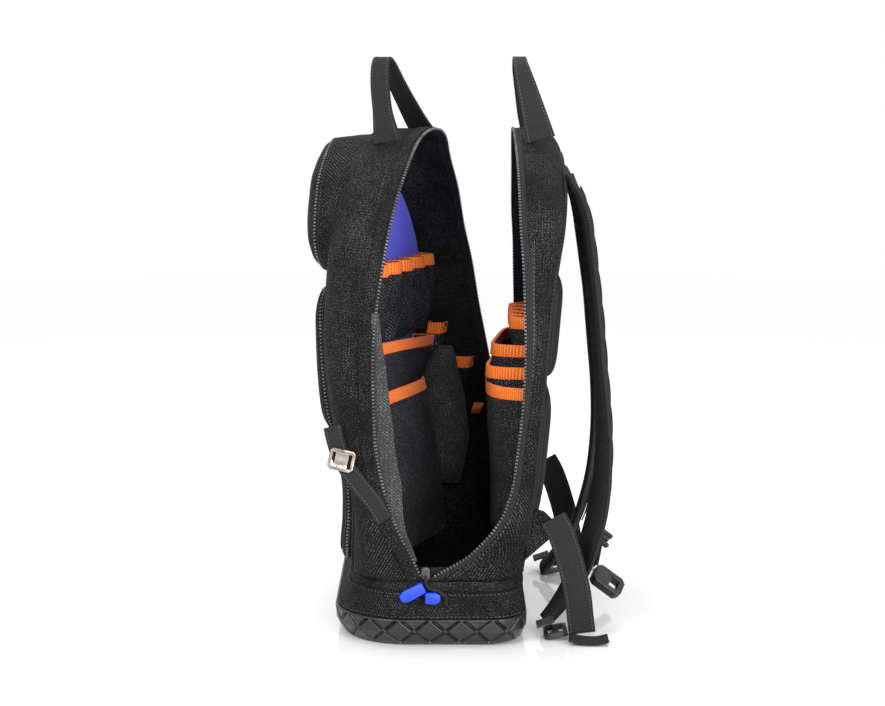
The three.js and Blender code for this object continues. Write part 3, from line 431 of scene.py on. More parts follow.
def gusset_cloth(half):
    def cloth(s, t, face):
        side, row = walk(s)
        base_v = arch(row)[1]
        corner = read(half, "corner", base_v) * HALF_DEPTH
        rim = rim_depth(half, side, base_v) - ZIP_WIDTH
        level = np.minimum(t / STRAIGHT, 1) * (rim - corner)
        return s * ARCH_LENGTH, level + np.maximum(t / STRAIGHT - 1, 0) * corner * ROUND_LENGTH
    return cloth


edge_rows = np.linspace(0, ARCH_ROWS, 400)


def panel_edge(half, t, inset=0.0):
    """Half width and height of a panel's edge at a share of the way from the seam to its top."""
    corner = read(half, "corner", arch(edge_rows)[1]) * HALF_DEPTH
    u, v = arch(edge_rows, corner + inset)
    share = (v - v[0]) / (v[-1] - v[0])
    return np.interp(t, share, u), np.interp(t, share, v)


def panel(half, depth=0.0, narrower=0.0):
    def shape(s, t):
        u, v = panel_edge(half, t, narrower)
        return place(half, (2 * s - 1) * u, v, depth)
    return shape


def panel_cloth(half):
    def cloth(s, t, face):
        u, v = panel_edge(half, t)
        return (2 * s - 1) * u, v
    return cloth


INSIDE = {"front": (-0.02, 0, 0.25), "back": (0.09, 0, 0.25)}
HALVES = {"front": FRONT, "back": BACK}


def crowded_top(t):
    """Brings the rows of a panel closer together towards its top, where its edge curves most."""
    return 1 - (1 - t) ** 1.6


for name, half in HALVES.items():
    strip = lay_sheet(f"{name}_gusset", 300, 26, gusset(half), gusset_cloth(half), INSIDE[name])
    ruffle(strip, 2.2 * MM, 70 * MM, seed=3, stretch=(1, 1, 1.7))
    ruffle(strip, 0.8 * MM, 22 * MM, seed=9, stretch=(1, 1, 2.2))
    modify(strip, "SOLIDIFY", thickness=WALL, offset=-1, use_rim=True)
    belongs(strip, "cloth", f"{name}_half")
    face = lay_sheet(f"{name}_panel", 90, 120, lambda s, t, half=half: panel(half)(s, crowded_top(t)),
                     lambda s, t, f, half=half: panel_cloth(half)(s, crowded_top(t), f), INSIDE[name])
    modify(face, "SOLIDIFY", thickness=WALL, offset=-1, use_rim=True)
    belongs(face, "cloth", f"{name}_half")
    edge = np.linspace(0.002, 0.998, 360)
    line, out = surface_line(gusset(half), edge, 0.995, 0.0)
    belongs(piping(f"{name}_panel_piping", line, 1.7 * MM), "webbing")
    for t in (0.13, 0.2, 0.93):
        sew(*surface_line(gusset(half), edge, t, -half["facing"] * PROUD))

# %% [markdown]
# ## Zips
# A zip runs along each rim. Its tape is a narrow woven strip, and its teeth are small moulded pieces
# three millimetres apart. One tooth is made from a cube with bevelled edges and copied along the rim.
# Copies in one mesh are light enough here, where hundreds of single objects wouldn't be.

# %% Zip tapes and teeth
TEETH_PITCH = 3.3 * MM


def zip_band(half, start, stop, inset):
    def shape(s, t):
        side, row = walk(s)
        rim = rim_depth(half, side, arch(row)[1])
        u, v = arch(row, inset)
        return place(half, side * u, v, rim + mix(start, stop, t))
    return shape


def band_cloth(width):
    return lambda s, t, face: (s * ARCH_LENGTH, t * width)


bpy.ops.mesh.primitive_cube_add(size=1)
tooth = bpy.context.object
tooth.name = "one_tooth"
tooth.data.transform(Matrix.Diagonal((1.4 * MM, 2.4 * MM, 2.0 * MM, 1)))
in_edit(tooth, lambda: bpy.ops.mesh.bevel(offset=0.35 * MM, segments=1))

for name, half in HALVES.items():
    tape = lay_sheet(f"{name}_zip_tape", 360, 3, zip_band(half, -ZIP_WIDTH - 3 * MM, -1.2 * MM, 0.5 * MM),
                     band_cloth(10 * MM), INSIDE[name], thickness=1.4 * MM)
    belongs(tape, "webbing", f"{name}_zip")
    rim_line, out = surface_line(zip_band(half, -ZIP_WIDTH, 0, 0.4 * MM), np.linspace(0.004, 0.996, 900), 0.78)
    out *= -half["facing"]
    teeth = repeat(f"{name}_zip_teeth", tooth, frames_along(rim_line, out, TEETH_PITCH))
    belongs(teeth, "teeth", f"{name}_zip")

# %% [markdown]
# ## Rain flap, closed zip and facing
# On the front half a folded flap keeps rain off the tape, sewn down by two rows of stitches. On the
# far side the zip is closed up to a height, so there one strip joins both rims. Along the near rim a
# grey facing shows past the teeth. All three are strips that follow the rim, laid as sheets again.

# %% Rain flap, closed zip and facing
FLAP_STITCH = 3.6 * MM
flap = lay_sheet("front_rain_flap", 300, 5, zip_band(FRONT, -15 * MM, -4.6 * MM, 0), band_cloth(12 * MM), None,
                 merge=False)
face_away(flap, INSIDE["front"])
move_points(flap, points_of(flap) + normals_of(flap) * 1.3 * MM)
modify(flap, "SOLIDIFY", thickness=1.5 * MM, offset=-1, use_rim=True)
belongs(flap, "cloth", "front_half")
for start, stop in ((-13.6, -13.5), (-6.2, -6.1)):
    sew(*surface_line(zip_band(FRONT, start * MM, stop * MM, 0), np.linspace(0.003, 0.997, 500), 0.5, -1.5 * MM),
        pitch=FLAP_STITCH)

CLOSED_TO = 178 * MM


def far_closing(s, t):
    v = mix(SEAM - 14 * MM, CLOSED_TO, s)
    reach = np.clip(v, SEAM, HEIGHT)
    front, back = (place(half, HALF_WIDTH - 3.2 * MM, reach, rim_depth(half, 1, reach) - 12 * MM)
                   for half in (FRONT, BACK))
    laid = mix(front, back, t[..., None])
    laid[..., 2] = v
    return laid


closing = lay_sheet("far_zip_closing", 60, 8, far_closing, lambda s, t, f: (t * 30 * MM, s * 0.13),
                    (0.03, 0, 0.12), thickness=1.2 * MM)
belongs(closing, "cloth", "front_zip")


FACING_AT = [0.08, 0.11, 0.15, 0.20, 0.26, 0.31]
FACING_WIDTHS = np.array([1, 5, 15, 15, 9, 1]) * MM


def facing(s, t):
    v = mix(FACING_AT[0], FACING_AT[-1], s)
    reach = mix(-5 * MM, np.interp(v, FACING_AT, FACING_WIDTHS), t)
    return place(FRONT, -HALF_WIDTH + WALL + mix(0.6, 3.5, t) * MM, v, rim_depth(FRONT, -1, v) + reach)


strip = lay_sheet("front_zip_facing", 80, 4, facing, lambda s, t, f: (t * 15 * MM, s * 0.23), (0, 0.3, 0.25),
                  thickness=1.2 * MM)
belongs(strip, "facing", "front_half")

# %% [markdown]
# ## Linings
# Behind the pockets each panel is lined with a violet-blue sheet. It is a flat cut of cloth held
# stretched by its edges, so it is one thin sheet with a little slack in it. It could be simulated, but
# a stretched sheet stays almost flat, so a laid grid with a little smooth noise looks the same.

# %% Linings
LINED = WALL + 2.0 * MM
for name, half in HALVES.items():
    def lining(s, t, half=half):
        u, v = panel_edge(half, crowded_top(mix(0.04, 0.985, t)), 0.5 * MM)
        return place(half, (2 * s - 1) * u * 0.985, v, LINED)
    sheet = lay_sheet(f"{name}_lining_cloth", 60, 90, lining, lambda s, t, f: (s * 0.3, t * 0.4),
                      (half["facing"] * -1.0, 0, 0.25), thickness=1.1 * MM)
    ruffle(sheet, 0.5 * MM, 45 * MM, seed=5)
    belongs(sheet, "lining", f"{name}_lining")

# %% [markdown]
# ## Inner pockets
# A patch pocket is a cloth wall that bows off the lining and returns to it at both ends, with an
# orange binding folded over its mouth. Sleeves for screwdrivers are the same wall sewn down at even
# steps, so it stands out in flutes. Each row below has the half, the panel or the far side wall, the
# number of flutes, how far it lies off the lining, its two ends, and for its foot and its mouth the
# height and how far it bows at the near and far end, in millimetres. Some mouths droop, as cloth does.

# %% Inner pockets and their bindings
CLOTH = 1.5 * MM
BINDING = 11 * MM
TALL = 100 * MM
POCKETS = {
    "front_sleeves": (FRONT, "panel", 7, 1.5, -120, 128, (262, 13, 13), (341, 17, 19)),
    "front_pocket_top": (FRONT, "panel", 0, 2.5, -140, 112, (204, 22, 24), (273, 22, 28)),
    "front_pocket_large": (FRONT, "panel", 0, 2.5, -145, 98, (52, 20, 112), (225, 24, 34)),
    "gusset_pocket_back": (FRONT, "side", 0, 3.2, 12, 30, (226, 10, 10), (264, 15, 15)),
    "gusset_pocket_front": (FRONT, "side", 0, 1.2, 43, 65, (176, 7, 7), (228, 13, 13)),
    "back_sleeves": (BACK, "panel", 5, 1.5, -20, 112, (258, 20, 18), (287, 25, 22)),
    "back_pocket_top": (BACK, "panel", 0, 1.4, -34, 112, (240, 42, 24), (262, 44, 24)),
    "back_pocket_middle": (BACK, "panel", 0, 1.4, -52, 112, (216, 46, 26), (243, 48, 26)),
    "back_pocket_large": (BACK, "panel", 0, 1.4, -72, 114, (70, 24, 14), (226, 50, 28)),
}
DROOP = {"front_pocket_top": 19 * MM, "front_pocket_large": 10 * MM, "back_pocket_large": -5 * MM,
         "front_sleeves": 3 * MM}


def reach_at(half, v, w):
    """Half width that is free inside a half at a height and depth."""
    corner = read(half, "corner", v) * HALF_DEPTH
    round_part = np.sqrt(np.maximum((corner - WALL) ** 2 - (corner - w) ** 2, 0))
    inset = np.where(w >= corner, WALL, corner - round_part)
    rise = np.clip((v - SPRING) / (CROWN_RISE - inset), 0, 1)
    return (HALF_WIDTH - inset) * np.sqrt(1 - rise ** 2)


def pocket_wall(half, on, flutes, lift, start, stop, foot, mouth):
    """The cloth wall of a pocket: s runs along its mouth, v is a height and off a distance outwards."""
    lift, start, stop = lift * MM, start * MM, stop * MM
    foot, mouth = np.array(foot) * MM, np.array(mouth) * MM
    tall = mouth[0] - foot[0] > TALL

    def shape(s, v, off=0.0):
        rise = np.clip((v - foot[0]) / (mouth[0] - foot[0]), 0, 1)
        rise = rise if tall else 1 - (1 - rise) ** 2
        end = np.sqrt(np.maximum(1 - np.abs(2 * s - 1) ** (3.4 if tall else 8), 0))
        flute = end
        if flutes:
            flute = mix(0.12, 1, np.abs(np.sin(np.pi * flutes * s)) ** 0.7) * end ** 0.4
        stand = flute * mix(mix(foot[1], foot[2], s), mix(mouth[1], mouth[2], s), rise)
        tuck = np.sqrt(np.clip((v - foot[0]) / (16 * MM) + 0.06, 0, 1)) if tall else 1
        stand = stand * tuck
        if on == "side":
            wall = np.minimum(reach_at(half, v, start), reach_at(half, v, stop)) - lift
            return place(half, wall - stand - off, v, mix(stop, start, s))
        limit = reach_at(half, v, LINED) - 12 * MM
        u = mix(np.maximum(start, -limit), np.minimum(stop, limit), s)
        return place(half, u, v, LINED + lift + stand + off)
    return shape


def eased(s):
    """Brings the columns closer together at both ends, where a wall turns back to the lining."""
    return 0.5 - 0.5 * np.cos(np.pi * s)


BINDING_SECTION = np.array([[0, -1], [0, -0.5], [0, -0.06], [0.25, 0.0], [0.75, 0.0], [1, -0.06], [1, -0.5],
                            [1, -1]])


def binding_shape(wall, top):
    """A tape folded over the mouth: t goes up its outer side, over the edge and down the inner one."""
    steps = np.linspace(0, 1, len(BINDING_SECTION))

    def shape(s, t):
        across = np.interp(t, steps, BINDING_SECTION[:, 0])
        below = np.interp(t, steps, BINDING_SECTION[:, 1])
        off = mix(0.95, -CLOTH / MM - 0.95, across) * MM
        low = wall(eased(s), top + below * BINDING, off)
        low[..., 2] = np.where(below > -0.3, top + 0.7 * MM + below * BINDING, low[..., 2])
        return low
    return shape


DROOP_FADE = 60 * MM


def far_share(points, ends):
    """A share that grows from the first to the second end of a pocket, slowly at first."""
    return np.clip((points[:, 1] - ends[0]) / (ends[1] - ends[0]), 0, 1) ** 1.3


def hang(piece, drop, ends, top):
    """Lets the mouth of a pocket hang lower towards its far end."""
    points = points_of(piece)
    points[:, 2] -= drop * far_share(points, ends) * np.clip((points[:, 2] - top + DROOP_FADE) / DROOP_FADE, 0, 1)
    move_points(piece, points)


for name, pattern in POCKETS.items():
    half, on, flutes, lift, start, stop, foot, mouth = pattern
    wall = pocket_wall(*pattern)
    low, top, ends, drop = foot[0] * MM, mouth[0] * MM, (start * MM, stop * MM), DROOP.get(name, 0)
    width = abs(stop - start) * MM * (1.5 if flutes else 1.15)
    columns = 180 if flutes else 90
    behind = np.array([-0.5 * half["facing"], 0.0, 0.2]) if on == "panel" else np.array([-0.05, 0.5, 0.2])
    body = lay_sheet(f"{name}_cloth", columns, max(6, int((top - low) / (3 * MM))),
                     lambda s, t: wall(eased(s), mix(low, top - 1 * MM, t)),
                     lambda s, t, f: (s * width, mix(low, top, t)), behind, thickness=CLOTH)
    amount, size = (4.2, 48) if top - low > TALL else (0.9, 34)
    ruffle(body, amount * MM, size * MM, seed=11, stretch=(1, 1, 2.4),
           fade=lambda points, top=top: np.clip((top - 12 * MM - points[:, 2]) / (20 * MM), 0, 1))
    hang(body, drop, ends, top)
    belongs(body, "pocket", name)
    tape = lay_sheet(f"{name}_tape", columns, len(BINDING_SECTION) - 1, binding_shape(wall, top),
                     lambda s, t, f: (s * width, t * 24 * MM), None)
    face_away(tape, behind)
    hang(tape, drop, ends, top)
    belongs(tape, "binding", f"{name}_binding")
    run, seam_at = eased(np.linspace(0.02, 0.98, 200)), np.full(200, top - BINDING + 1.6 * MM)
    line = wall(run, seam_at, 1.15 * MM)
    out = unit(line - wall(run, seam_at))
    line[:, 2] -= drop * far_share(line, ends)
    sew(line, out, "binding", 3.4 * MM)

# %% [markdown]
# ## Folds of the sleeves and a loop of tape
# Between two sleeves the cloth is folded into a thin upright edge, made here as piping. A short loop
# of orange tape is sewn to the far side wall, and it is a small strip bent round half a circle.

# %% Folds of the sleeves and a loop of tape
sleeves, sleeves_start, sleeves_stop = 7, *POCKETS["front_sleeves"][4:6]
for k in range(1, sleeves):
    u = np.full(30, mix(sleeves_start, sleeves_stop, k / sleeves) * MM)
    fold = place(FRONT, u, np.linspace(268 * MM, 328 * MM, 30), LINED + 9 * MM)
    belongs(piping(f"sleeve_fold_{k}", fold, 0.9 * MM), "webbing", "front_sleeves")


def loop_of_tape(s, t):
    round_the_fold = np.sin(np.pi * t) * 5 * MM
    return place(FRONT, HALF_WIDTH - 5 * MM - round_the_fold, 166 * MM + 12 * MM * t, mix(80 * MM, 90 * MM, s))


tape = lay_sheet("far_tape_loop", 8, 12, loop_of_tape, lambda s, t, f: (s * 10 * MM, t * 16 * MM),
                 (0, 0.3, 0.17), thickness=1.2 * MM)
belongs(tape, "binding", "gusset_pocket_front_binding")

# %% [markdown]
# ## Outer pockets
# Three zipped pockets stand on the front panel. Each is a crowned closed form with a gusset of its
# own, piped where gusset and face meet. A grid is wrapped into rings: t runs from the panel up the
# gusset and over the face to its middle, and s runs round the outline. Each row below has the foot and
# top of a pocket, its width and the width at its top as shares, how far it stands out, the radius of
# its corners, and whether it is boxed (0) or domed (1). The sunk first rings follow the rounded edge
# of the half, so no gap shows beside a pocket that reaches over it.

# %% Outer pockets
OUTER = {
    "pocket_upper": (338, 462, 0.74, 0.34, 33, 0.12, 1),
    "pocket_middle": (186, 326, 0.76, 0.76, 17, 0.08, 0),
    "pocket_lower": (70, 172, 0.72, 0.74, 11, 0.06, 0),
}


def pocket_outline(foot, top, width, shoulder, radius):
    """A rounded oblong that narrows towards its top, and how long it is."""
    half, r, height = width * HALF_WIDTH, radius * HALF_WIDTH * 2, (top - foot) * MM
    points = []
    for cu, cv, start in ((half - r, r, -90), (half - r, height - r, 0), (r - half, height - r, 90),
                          (r - half, r, 180)):
        for k in range(13):
            angle = math.radians(start + 7.5 * k)
            points.append((cu + r * math.cos(angle), cv + r * math.sin(angle)))
    points = np.array(points + points[:1])
    length = added_up(np.hypot(*np.diff(points, axis=0).T))
    share = length / length[-1]

    def outline(s):
        u, v = np.interp(s, share, points[:, 0]), np.interp(s, share, points[:, 1])
        narrow = mix(1, shoulder / width, np.clip(v / height, 0, 1) ** 2.2)
        return u * narrow, foot * MM + v
    return outline, float(length[-1])


# Each ring: how far it is drawn in on a boxed and on a domed pocket, and how far it stands out
RINGS = np.array([[0, 0, -1], [0, 0, -0.5], [0, 0, 0], [0, 0.01, 0.25], [0.004, 0.05, 0.5],
                  [0.02, 0.11, 0.68], [0.06, 0.2, 0.84], [0.12, 0.3, 0.93], [0.22, 0.41, 1.0], [0.4, 0.53, 1.045],
                  [0.6, 0.68, 1.075], [0.8, 0.84, 1.09], [1, 1, 1.1]])
STEPS = np.linspace(0, 1, len(RINGS))


def skin_depth(half, u, v):
    """How far the rounded edge of a half lies below its panel, at a place on the panel."""
    rise = np.maximum(v - SPRING, 0)
    reach = np.maximum(np.hypot(u / HALF_WIDTH, rise / CROWN_RISE), 1e-6)
    slope = np.hypot(u / HALF_WIDTH ** 2, rise / CROWN_RISE ** 2) / reach
    edge = np.clip((1 - reach) / slope, 0, None)
    corner = read(half, "corner", v) * HALF_DEPTH
    turned = corner - np.sqrt(np.maximum(corner ** 2 - (corner - edge) ** 2, 0))
    return np.where(edge < corner, turned, 0)


for name, (foot, top, width, shoulder, depth, radius, dome) in OUTER.items():
    outline, around = pocket_outline(foot, top, width, shoulder, radius)
    centre = (foot + top) / 2 * MM
    inset_of = mix(RINGS[:, 0], RINGS[:, 1], dome)
    out_of = np.maximum(RINGS[:, 2], 0) * depth * MM
    sink_of = np.maximum(-RINGS[:, 2], 0)

    def pocket(s, t, outline=outline, centre=centre, inset_of=inset_of, out_of=out_of, sink_of=sink_of):
        inset, out, sink = (np.interp(t, STEPS, column) for column in (inset_of, out_of, sink_of))
        u, v = outline(s)
        deep = sink * (skin_depth(FRONT, u, v) + 2.5 * MM)
        return place(FRONT, u * (1 - inset), centre + (v - centre) * (1 - inset), deep - 1.1 * MM - out)

    def pocket_cloth(s, t, face, around=around, outline=outline, centre=centre, depth=depth):
        inset = np.interp(t, STEPS, RINGS[:, 0])
        u, v = outline(s)
        side = face < 0.4
        return (np.where(side, s * around, u * (1 - inset)),
                np.where(side, t / 0.3 * depth * MM * 0.7, centre + (v - centre) * (1 - inset)))

    body = lay_sheet(f"{name}_cloth", 192, 36, pocket, pocket_cloth, (0.0, 0, centre), merge=True)
    ruffle(body, 1.2 * MM, 45 * MM, seed=21)
    modify(body, "SOLIDIFY", thickness=2.0 * MM, offset=-1, use_rim=True)
    belongs(body, "cloth", name)
    ring = np.linspace(0, 1, 240, endpoint=False)
    line, out = surface_line(pocket, ring, STEPS[7], 0.4 * MM)
    belongs(piping(f"{name}_piping", line, 1.5 * MM, closed=True), "webbing")
    span = np.linspace(0.06, 0.84, 400)
    zip_line, out = surface_line(pocket, span, mix(STEPS[3], STEPS[4], 0.6), 0.0)
    side = np.sign(np.sum(out * (zip_line - np.array([0.0, 0.0, centre])), axis=1))[:, None]
    teeth = frames_along(zip_line + out * side * 0.5 * MM, out * side, TEETH_PITCH)
    belongs(repeat(f"{name}_zip_teeth", tooth, teeth), "teeth", name)
    for t in (STEPS[3] + 0.01, mix(STEPS[4], STEPS[5], 0.8)):
        seam, out = surface_line(pocket, span, t)
        sew(seam + out * side * PROUD, out * side, pitch=FLAP_STITCH)

# %% [markdown]
# ## Padded pouch
# A flat padded pouch leans on the far wall of the front half. It is a closed pillow: full in its
# middle and pinched at the piped seam round its edge. A cloth simulation blows it up a little, with
# the points at the seam held still, so the cloth pulls tight as the sewn one does. Each row of its
# table has a height and where the pouch starts and stops in the depth of the half.

# %% Padded pouch
POUCH = np.array([[96, 44, 92], [146, 34, 86], [190, 22, 68], [216, 20, 54], [232, 26, 48], [240, 32, 43]]) * MM
POUCH_THICK = 10 * MM
POUCH_MIDDLE = HALF_WIDTH - 18.7 * MM - POUCH_THICK
PRESSURE = 20
STEPS_OF_CLOTH = 20
HELD_WITHIN = 3.5 * MM


def pouch_edge(t):
    v = mix(POUCH[0, 0], POUCH[-1, 0], t)
    start = np.interp(v, POUCH[:, 0], POUCH[:, 1])
    stop = np.interp(v, POUCH[:, 0], POUCH[:, 2])
    return v, start, stop


def pouch(s, t):
    t = eased(t)
    v, start, stop = pouch_edge(t)
    turn = 2 * np.pi * s
    across = np.sign(np.cos(turn)) * np.abs(np.cos(turn)) ** 0.8
    swell = np.abs(np.sin(turn)) ** 0.75 * np.clip(np.minimum(t, 1 - t) * 9, 0, 1) ** 0.5
    middle, reach = (start + stop) / 2, (stop - start) / 2
    u = POUCH_MIDDLE + np.sign(np.sin(turn)) * POUCH_THICK * swell
    return place(FRONT, u, v, middle + reach * across)


def flat_uv(piece, axes):
    """A weave laid straight on a piece, along two of its own directions."""
    while piece.data.uv_layers:
        piece.data.uv_layers.remove(piece.data.uv_layers[0])
    layer = piece.data.uv_layers.new(name="cloth")
    corners = np.empty(len(piece.data.loops), dtype=np.int32)
    piece.data.loops.foreach_get("vertex_index", corners)
    layer.data.foreach_set("uv", np.ascontiguousarray(points_of(piece)[corners][:, axes]).ravel())


def puff_up(piece, seam, voxel, cap):
    """Blows up a closed pillow with its seam held, and keeps each point within a cap."""
    only(piece)
    piece.data.remesh_voxel_size = voxel
    bpy.ops.object.voxel_remesh()
    rest = points_of(piece)
    gap = np.min(np.linalg.norm(rest[:, None] - seam[None], axis=2), axis=1)
    piece.vertex_groups.new(name="seam").add([int(k) for k in np.flatnonzero(gap < HELD_WITHIN)], 1, "REPLACE")
    cloth = piece.modifiers.new("Cloth", "CLOTH")
    cloth.settings.vertex_group_mass = "seam"
    cloth.settings.use_pressure = True
    cloth.settings.uniform_pressure_force = PRESSURE
    cloth.settings.effector_weights.gravity = 0
    for step in range(1, STEPS_OF_CLOTH + 1):
        bpy.context.scene.frame_set(step)
    bpy.ops.object.modifier_apply(modifier=cloth.name)
    moved = points_of(piece) - rest
    far = np.linalg.norm(moved, axis=1, keepdims=True)
    print(piece.name, "swelled by up to", round(float(far.max()) / MM, 1), "mm")
    move_points(piece, rest + moved * np.minimum(1, cap / np.maximum(far, 1e-9)))
    modify(piece, "SUBSURF", levels=1, render_levels=1)
    bpy.context.scene.frame_set(1)


v, start, stop = pouch_edge(np.linspace(0, 1, 80))
loop = np.concatenate([place(FRONT, POUCH_MIDDLE, v, start), place(FRONT, POUCH_MIDDLE, v, stop)[::-1]])
pad = lay_sheet("padded_pouch_body", 72, 48, pouch, lambda s, t, f: (s * 0.12, t * 0.144), None)
in_edit(pad, lambda: bpy.ops.mesh.normals_make_consistent(inside=False))
puff_up(pad, loop, 3.5 * MM, 6 * MM)
flat_uv(pad, [0, 2])
only(pad)
bpy.ops.object.shade_smooth()
belongs(pad, "facing", "padded_pouch")
belongs(piping("pouch_piping", loop, 1.7 * MM, closed=True), "facing", "padded_pouch")

# %% [markdown]
# ## Webbing and straps
# Webbing is woven flat, so it is laid as a ribbon along a smooth path and never simulated. A ribbon
# takes rows of stops, each with a point, the direction of its width, its width and its thickness, and
# a closed section that is carried along them. A curve with a bevel could make it too, but its width
# would turn where the path bends, and here the stops hold it.

# %% Ribbons
def smooth_path(stops, count):
    """Even steps along a smooth line through rows of numbers."""
    stops = np.asarray(stops, dtype=float)
    gaps = np.linalg.norm(np.diff(stops[:, :3], axis=0), axis=1)
    at = added_up(gaps)
    order = np.arange(len(at))
    before, after = np.maximum(order - 1, 0), np.minimum(order + 1, len(at) - 1)
    slopes = (stops[after] - stops[before]) / (at[after] - at[before])[:, None]
    where = np.linspace(0, at[-1], count)
    k = np.clip(np.searchsorted(at, where), 1, len(at) - 1)
    span = (at[k] - at[k - 1])[:, None]
    t = ((where - at[k - 1]) / span[:, 0])[:, None]
    rise = (3 - 2 * t) * t * t
    return (mix(stops[k - 1], stops[k], rise)
            + span * ((t - 1) ** 2 * t * slopes[k - 1] + (t - 1) * t * t * slopes[k])), at[-1]


FLAT = np.array([[-1, -1], [-1, 1], [-0.94, 1], [0, 1.02], [0.94, 1], [1, 1], [1, -1], [0.94, -1], [0, -1.02],
                 [-0.94, -1], [-1, -1]])


def ribbon(name, stops, section=FLAT, count=80):
    """A piece with its line, and the directions across it and out of it."""
    path, length = smooth_path(stops, count)
    at, across = path[:, :3], unit(path[:, 3:6])
    run = unit(np.gradient(at, axis=0))
    across = unit(across - run * np.sum(across * run, axis=1, keepdims=True))
    out = np.cross(run, across)
    ring = added_up(np.linalg.norm(np.diff(section, axis=0), axis=1))
    ring /= ring[-1]
    width = float(path[:, 6].mean())

    def shape(s, t):
        k = np.clip(np.round(t * (count - 1)).astype(int), 0, count - 1)
        a, b = np.interp(s, ring, section[:, 0]), np.interp(s, ring, section[:, 1])
        half_width, half_thick = path[k, 6] / 2, path[k, 7] / 2
        return at[k] + across[k] * (a * half_width)[:, None] + out[k] * (b * half_thick)[:, None]

    def cloth(s, t, face):
        return np.interp(s, ring, section[:, 0]) * width / 2, t * length

    columns = len(section) - 1
    piece = lay_sheet(name, columns, count - 1, shape_on_ring(shape, ring, columns),
                      lambda s, t, f: cloth(ring_at(s, ring, columns), t, f), None)
    close_ends(piece)
    return piece, at, across, out


def ring_at(s, ring, columns):
    """Puts the columns of a grid at the corners of a section, however uneven its sides are."""
    return np.interp(s * columns, np.arange(len(ring)), ring)


def shape_on_ring(shape, ring, columns):
    return lambda s, t: shape(ring_at(s, ring, columns), t)


def close_ends(piece):
    """Caps the open ends of a ribbon and turns its faces outwards."""
    only(piece)
    bpy.ops.object.mode_set(mode="EDIT")
    bpy.ops.mesh.select_mode(type="EDGE")
    bpy.ops.mesh.select_all(action="DESELECT")
    bpy.ops.mesh.select_non_manifold()
    bpy.ops.mesh.edge_face_add()
    bpy.ops.mesh.select_all(action="SELECT")
    bpy.ops.mesh.normals_make_consistent(inside=False)
    bpy.ops.mesh.select_mode(type="VERT")
    bpy.ops.object.mode_set(mode="OBJECT")


def sew_ribbon(at, across, out, widths, thick, share=0.4, pitch=3.4 * MM):
    """Two rows of stitches on each face of a ribbon."""
    for edge in (-share, share):
        line = at + across * (np.asarray(widths) * edge)[:, None]
        for face in (-1, 1):
            sew(line + out * thick / 2 * face, out * face, pitch=pitch)


# %% [markdown]
# ## Grab handles
# Each half has a handle of plain webbing that stands up from its crown in a soft arch. Its stops are
# given as shares of its width and height, with how far it leans and how wide it looks where it turns,
# because real webbing never stands in an even arch. It is sewn along both edges.

# %% Grab handles
WEBBING = 25 * MM
WEB_THICK = 1.8 * MM
HANDLE_SPAN = 106 * MM
HANDLE_RISE = 66
HANDLE_STEPS = 120
FRONT_HANDLE = [(-0.52, 0, 0, 1.1), (-0.52, 0.36, 0.6, 0.76), (-0.53, 0.68, 0.95, 0.72), (-0.52, 0.9, 1, 0.68),
                (-0.46, 1.0, 1, 0.64), (-0.34, 0.94, 1, 0.66), (-0.14, 0.72, 0.9, 0.72), (0.08, 0.47, 0.6, 0.8),
                (0.3, 0.23, 0.3, 0.92), (0.52, 0, 0, 1.1)]
BACK_HANDLE = [(-0.52, 0, 0, 1.12), (-0.5, 0.36, 0.34, 0.9), (-0.44, 0.7, 0.72, 0.7), (-0.34, 0.92, 0.95, 0.54),
               (-0.2, 1.0, 1, 0.48), (-0.04, 0.97, 1, 0.5), (0.14, 0.86, 0.9, 0.6), (0.32, 0.62, 0.65, 0.75),
               (0.46, 0.3, 0.32, 0.95), (0.52, 0, 0, 1.12)]


def handle_stops(half, places, drop, foot, crest):
    rows = []
    for across, rise, lean, width in places:
        u, w = across * HANDLE_SPAN, mix(foot, crest, lean) * MM
        v = HEIGHT - drop * MM + rise * (HANDLE_RISE + drop) * MM
        at = place(half, u, min(v, HEIGHT), w)
        forward = place(half, u, HEIGHT, w + 0.01) - place(half, u, HEIGHT, w)
        rows.append([at[0], at[1], v, *forward, width * WEBBING, 3.0 * MM])
    return rows


for name, half, places, drop, foot, crest in (("front", FRONT, FRONT_HANDLE, 11.4, 46, 40),
                                              ("back", BACK, BACK_HANDLE, 9.5, 20, 38)):
    rows = handle_stops(half, places, drop, foot, crest)
    loop, at, across, out = ribbon(f"{name}_grab_handle", rows, count=HANDLE_STEPS)
    belongs(loop, "webbing", f"{name}_handle")
    sew_ribbon(at, across, out, smooth_path(rows, HANDLE_STEPS)[0][:, 6], 3.1 * MM)

# %% [markdown]
# ## Shoulder straps
# A shoulder strap is foam between two cloths, with a bound edge and a daisy chain of webbing tacked
# down its outer face. It is a ribbon with a padded section, full in the middle and thin at its edges.
# The foam fills it evenly, so a lofted form looks right without a simulation. Each row has how far
# back it hangs, its height, how far it is from the middle, its width and its tilt.

# %% Shoulder straps
STRAP_WIDTH = 62 * MM
STRAP_STEPS = 170
TACKS = 14
STRAP = np.array([
    (0.644, 0.905, 46, 0.84, 0), (0.7, 0.884, 48, 0.88, 0.02), (0.79, 0.855, 53, 0.94, 0.07),
    (0.87, 0.81, 60, 1, 0.1), (0.95, 0.73, 68, 1, 0.08), (1.03, 0.64, 75, 1, 0.05), (1.09, 0.54, 82, 1, 0.05),
    (1.15, 0.44, 87, 1, 0.08), (1.16, 0.35, 91, 1, 0.12), (1.1, 0.26, 94, 1, 0.15), (0.98, 0.19, 96, 0.98, 0.16),
    (0.84, 0.135, 98, 0.92, 0.16), (0.66, 0.09, 100, 0.8, 0.14), (0.46, 0.05, 102, 0.66, 0.1),
    (0.28, 0.022, 104, 0.56, 0.05)])


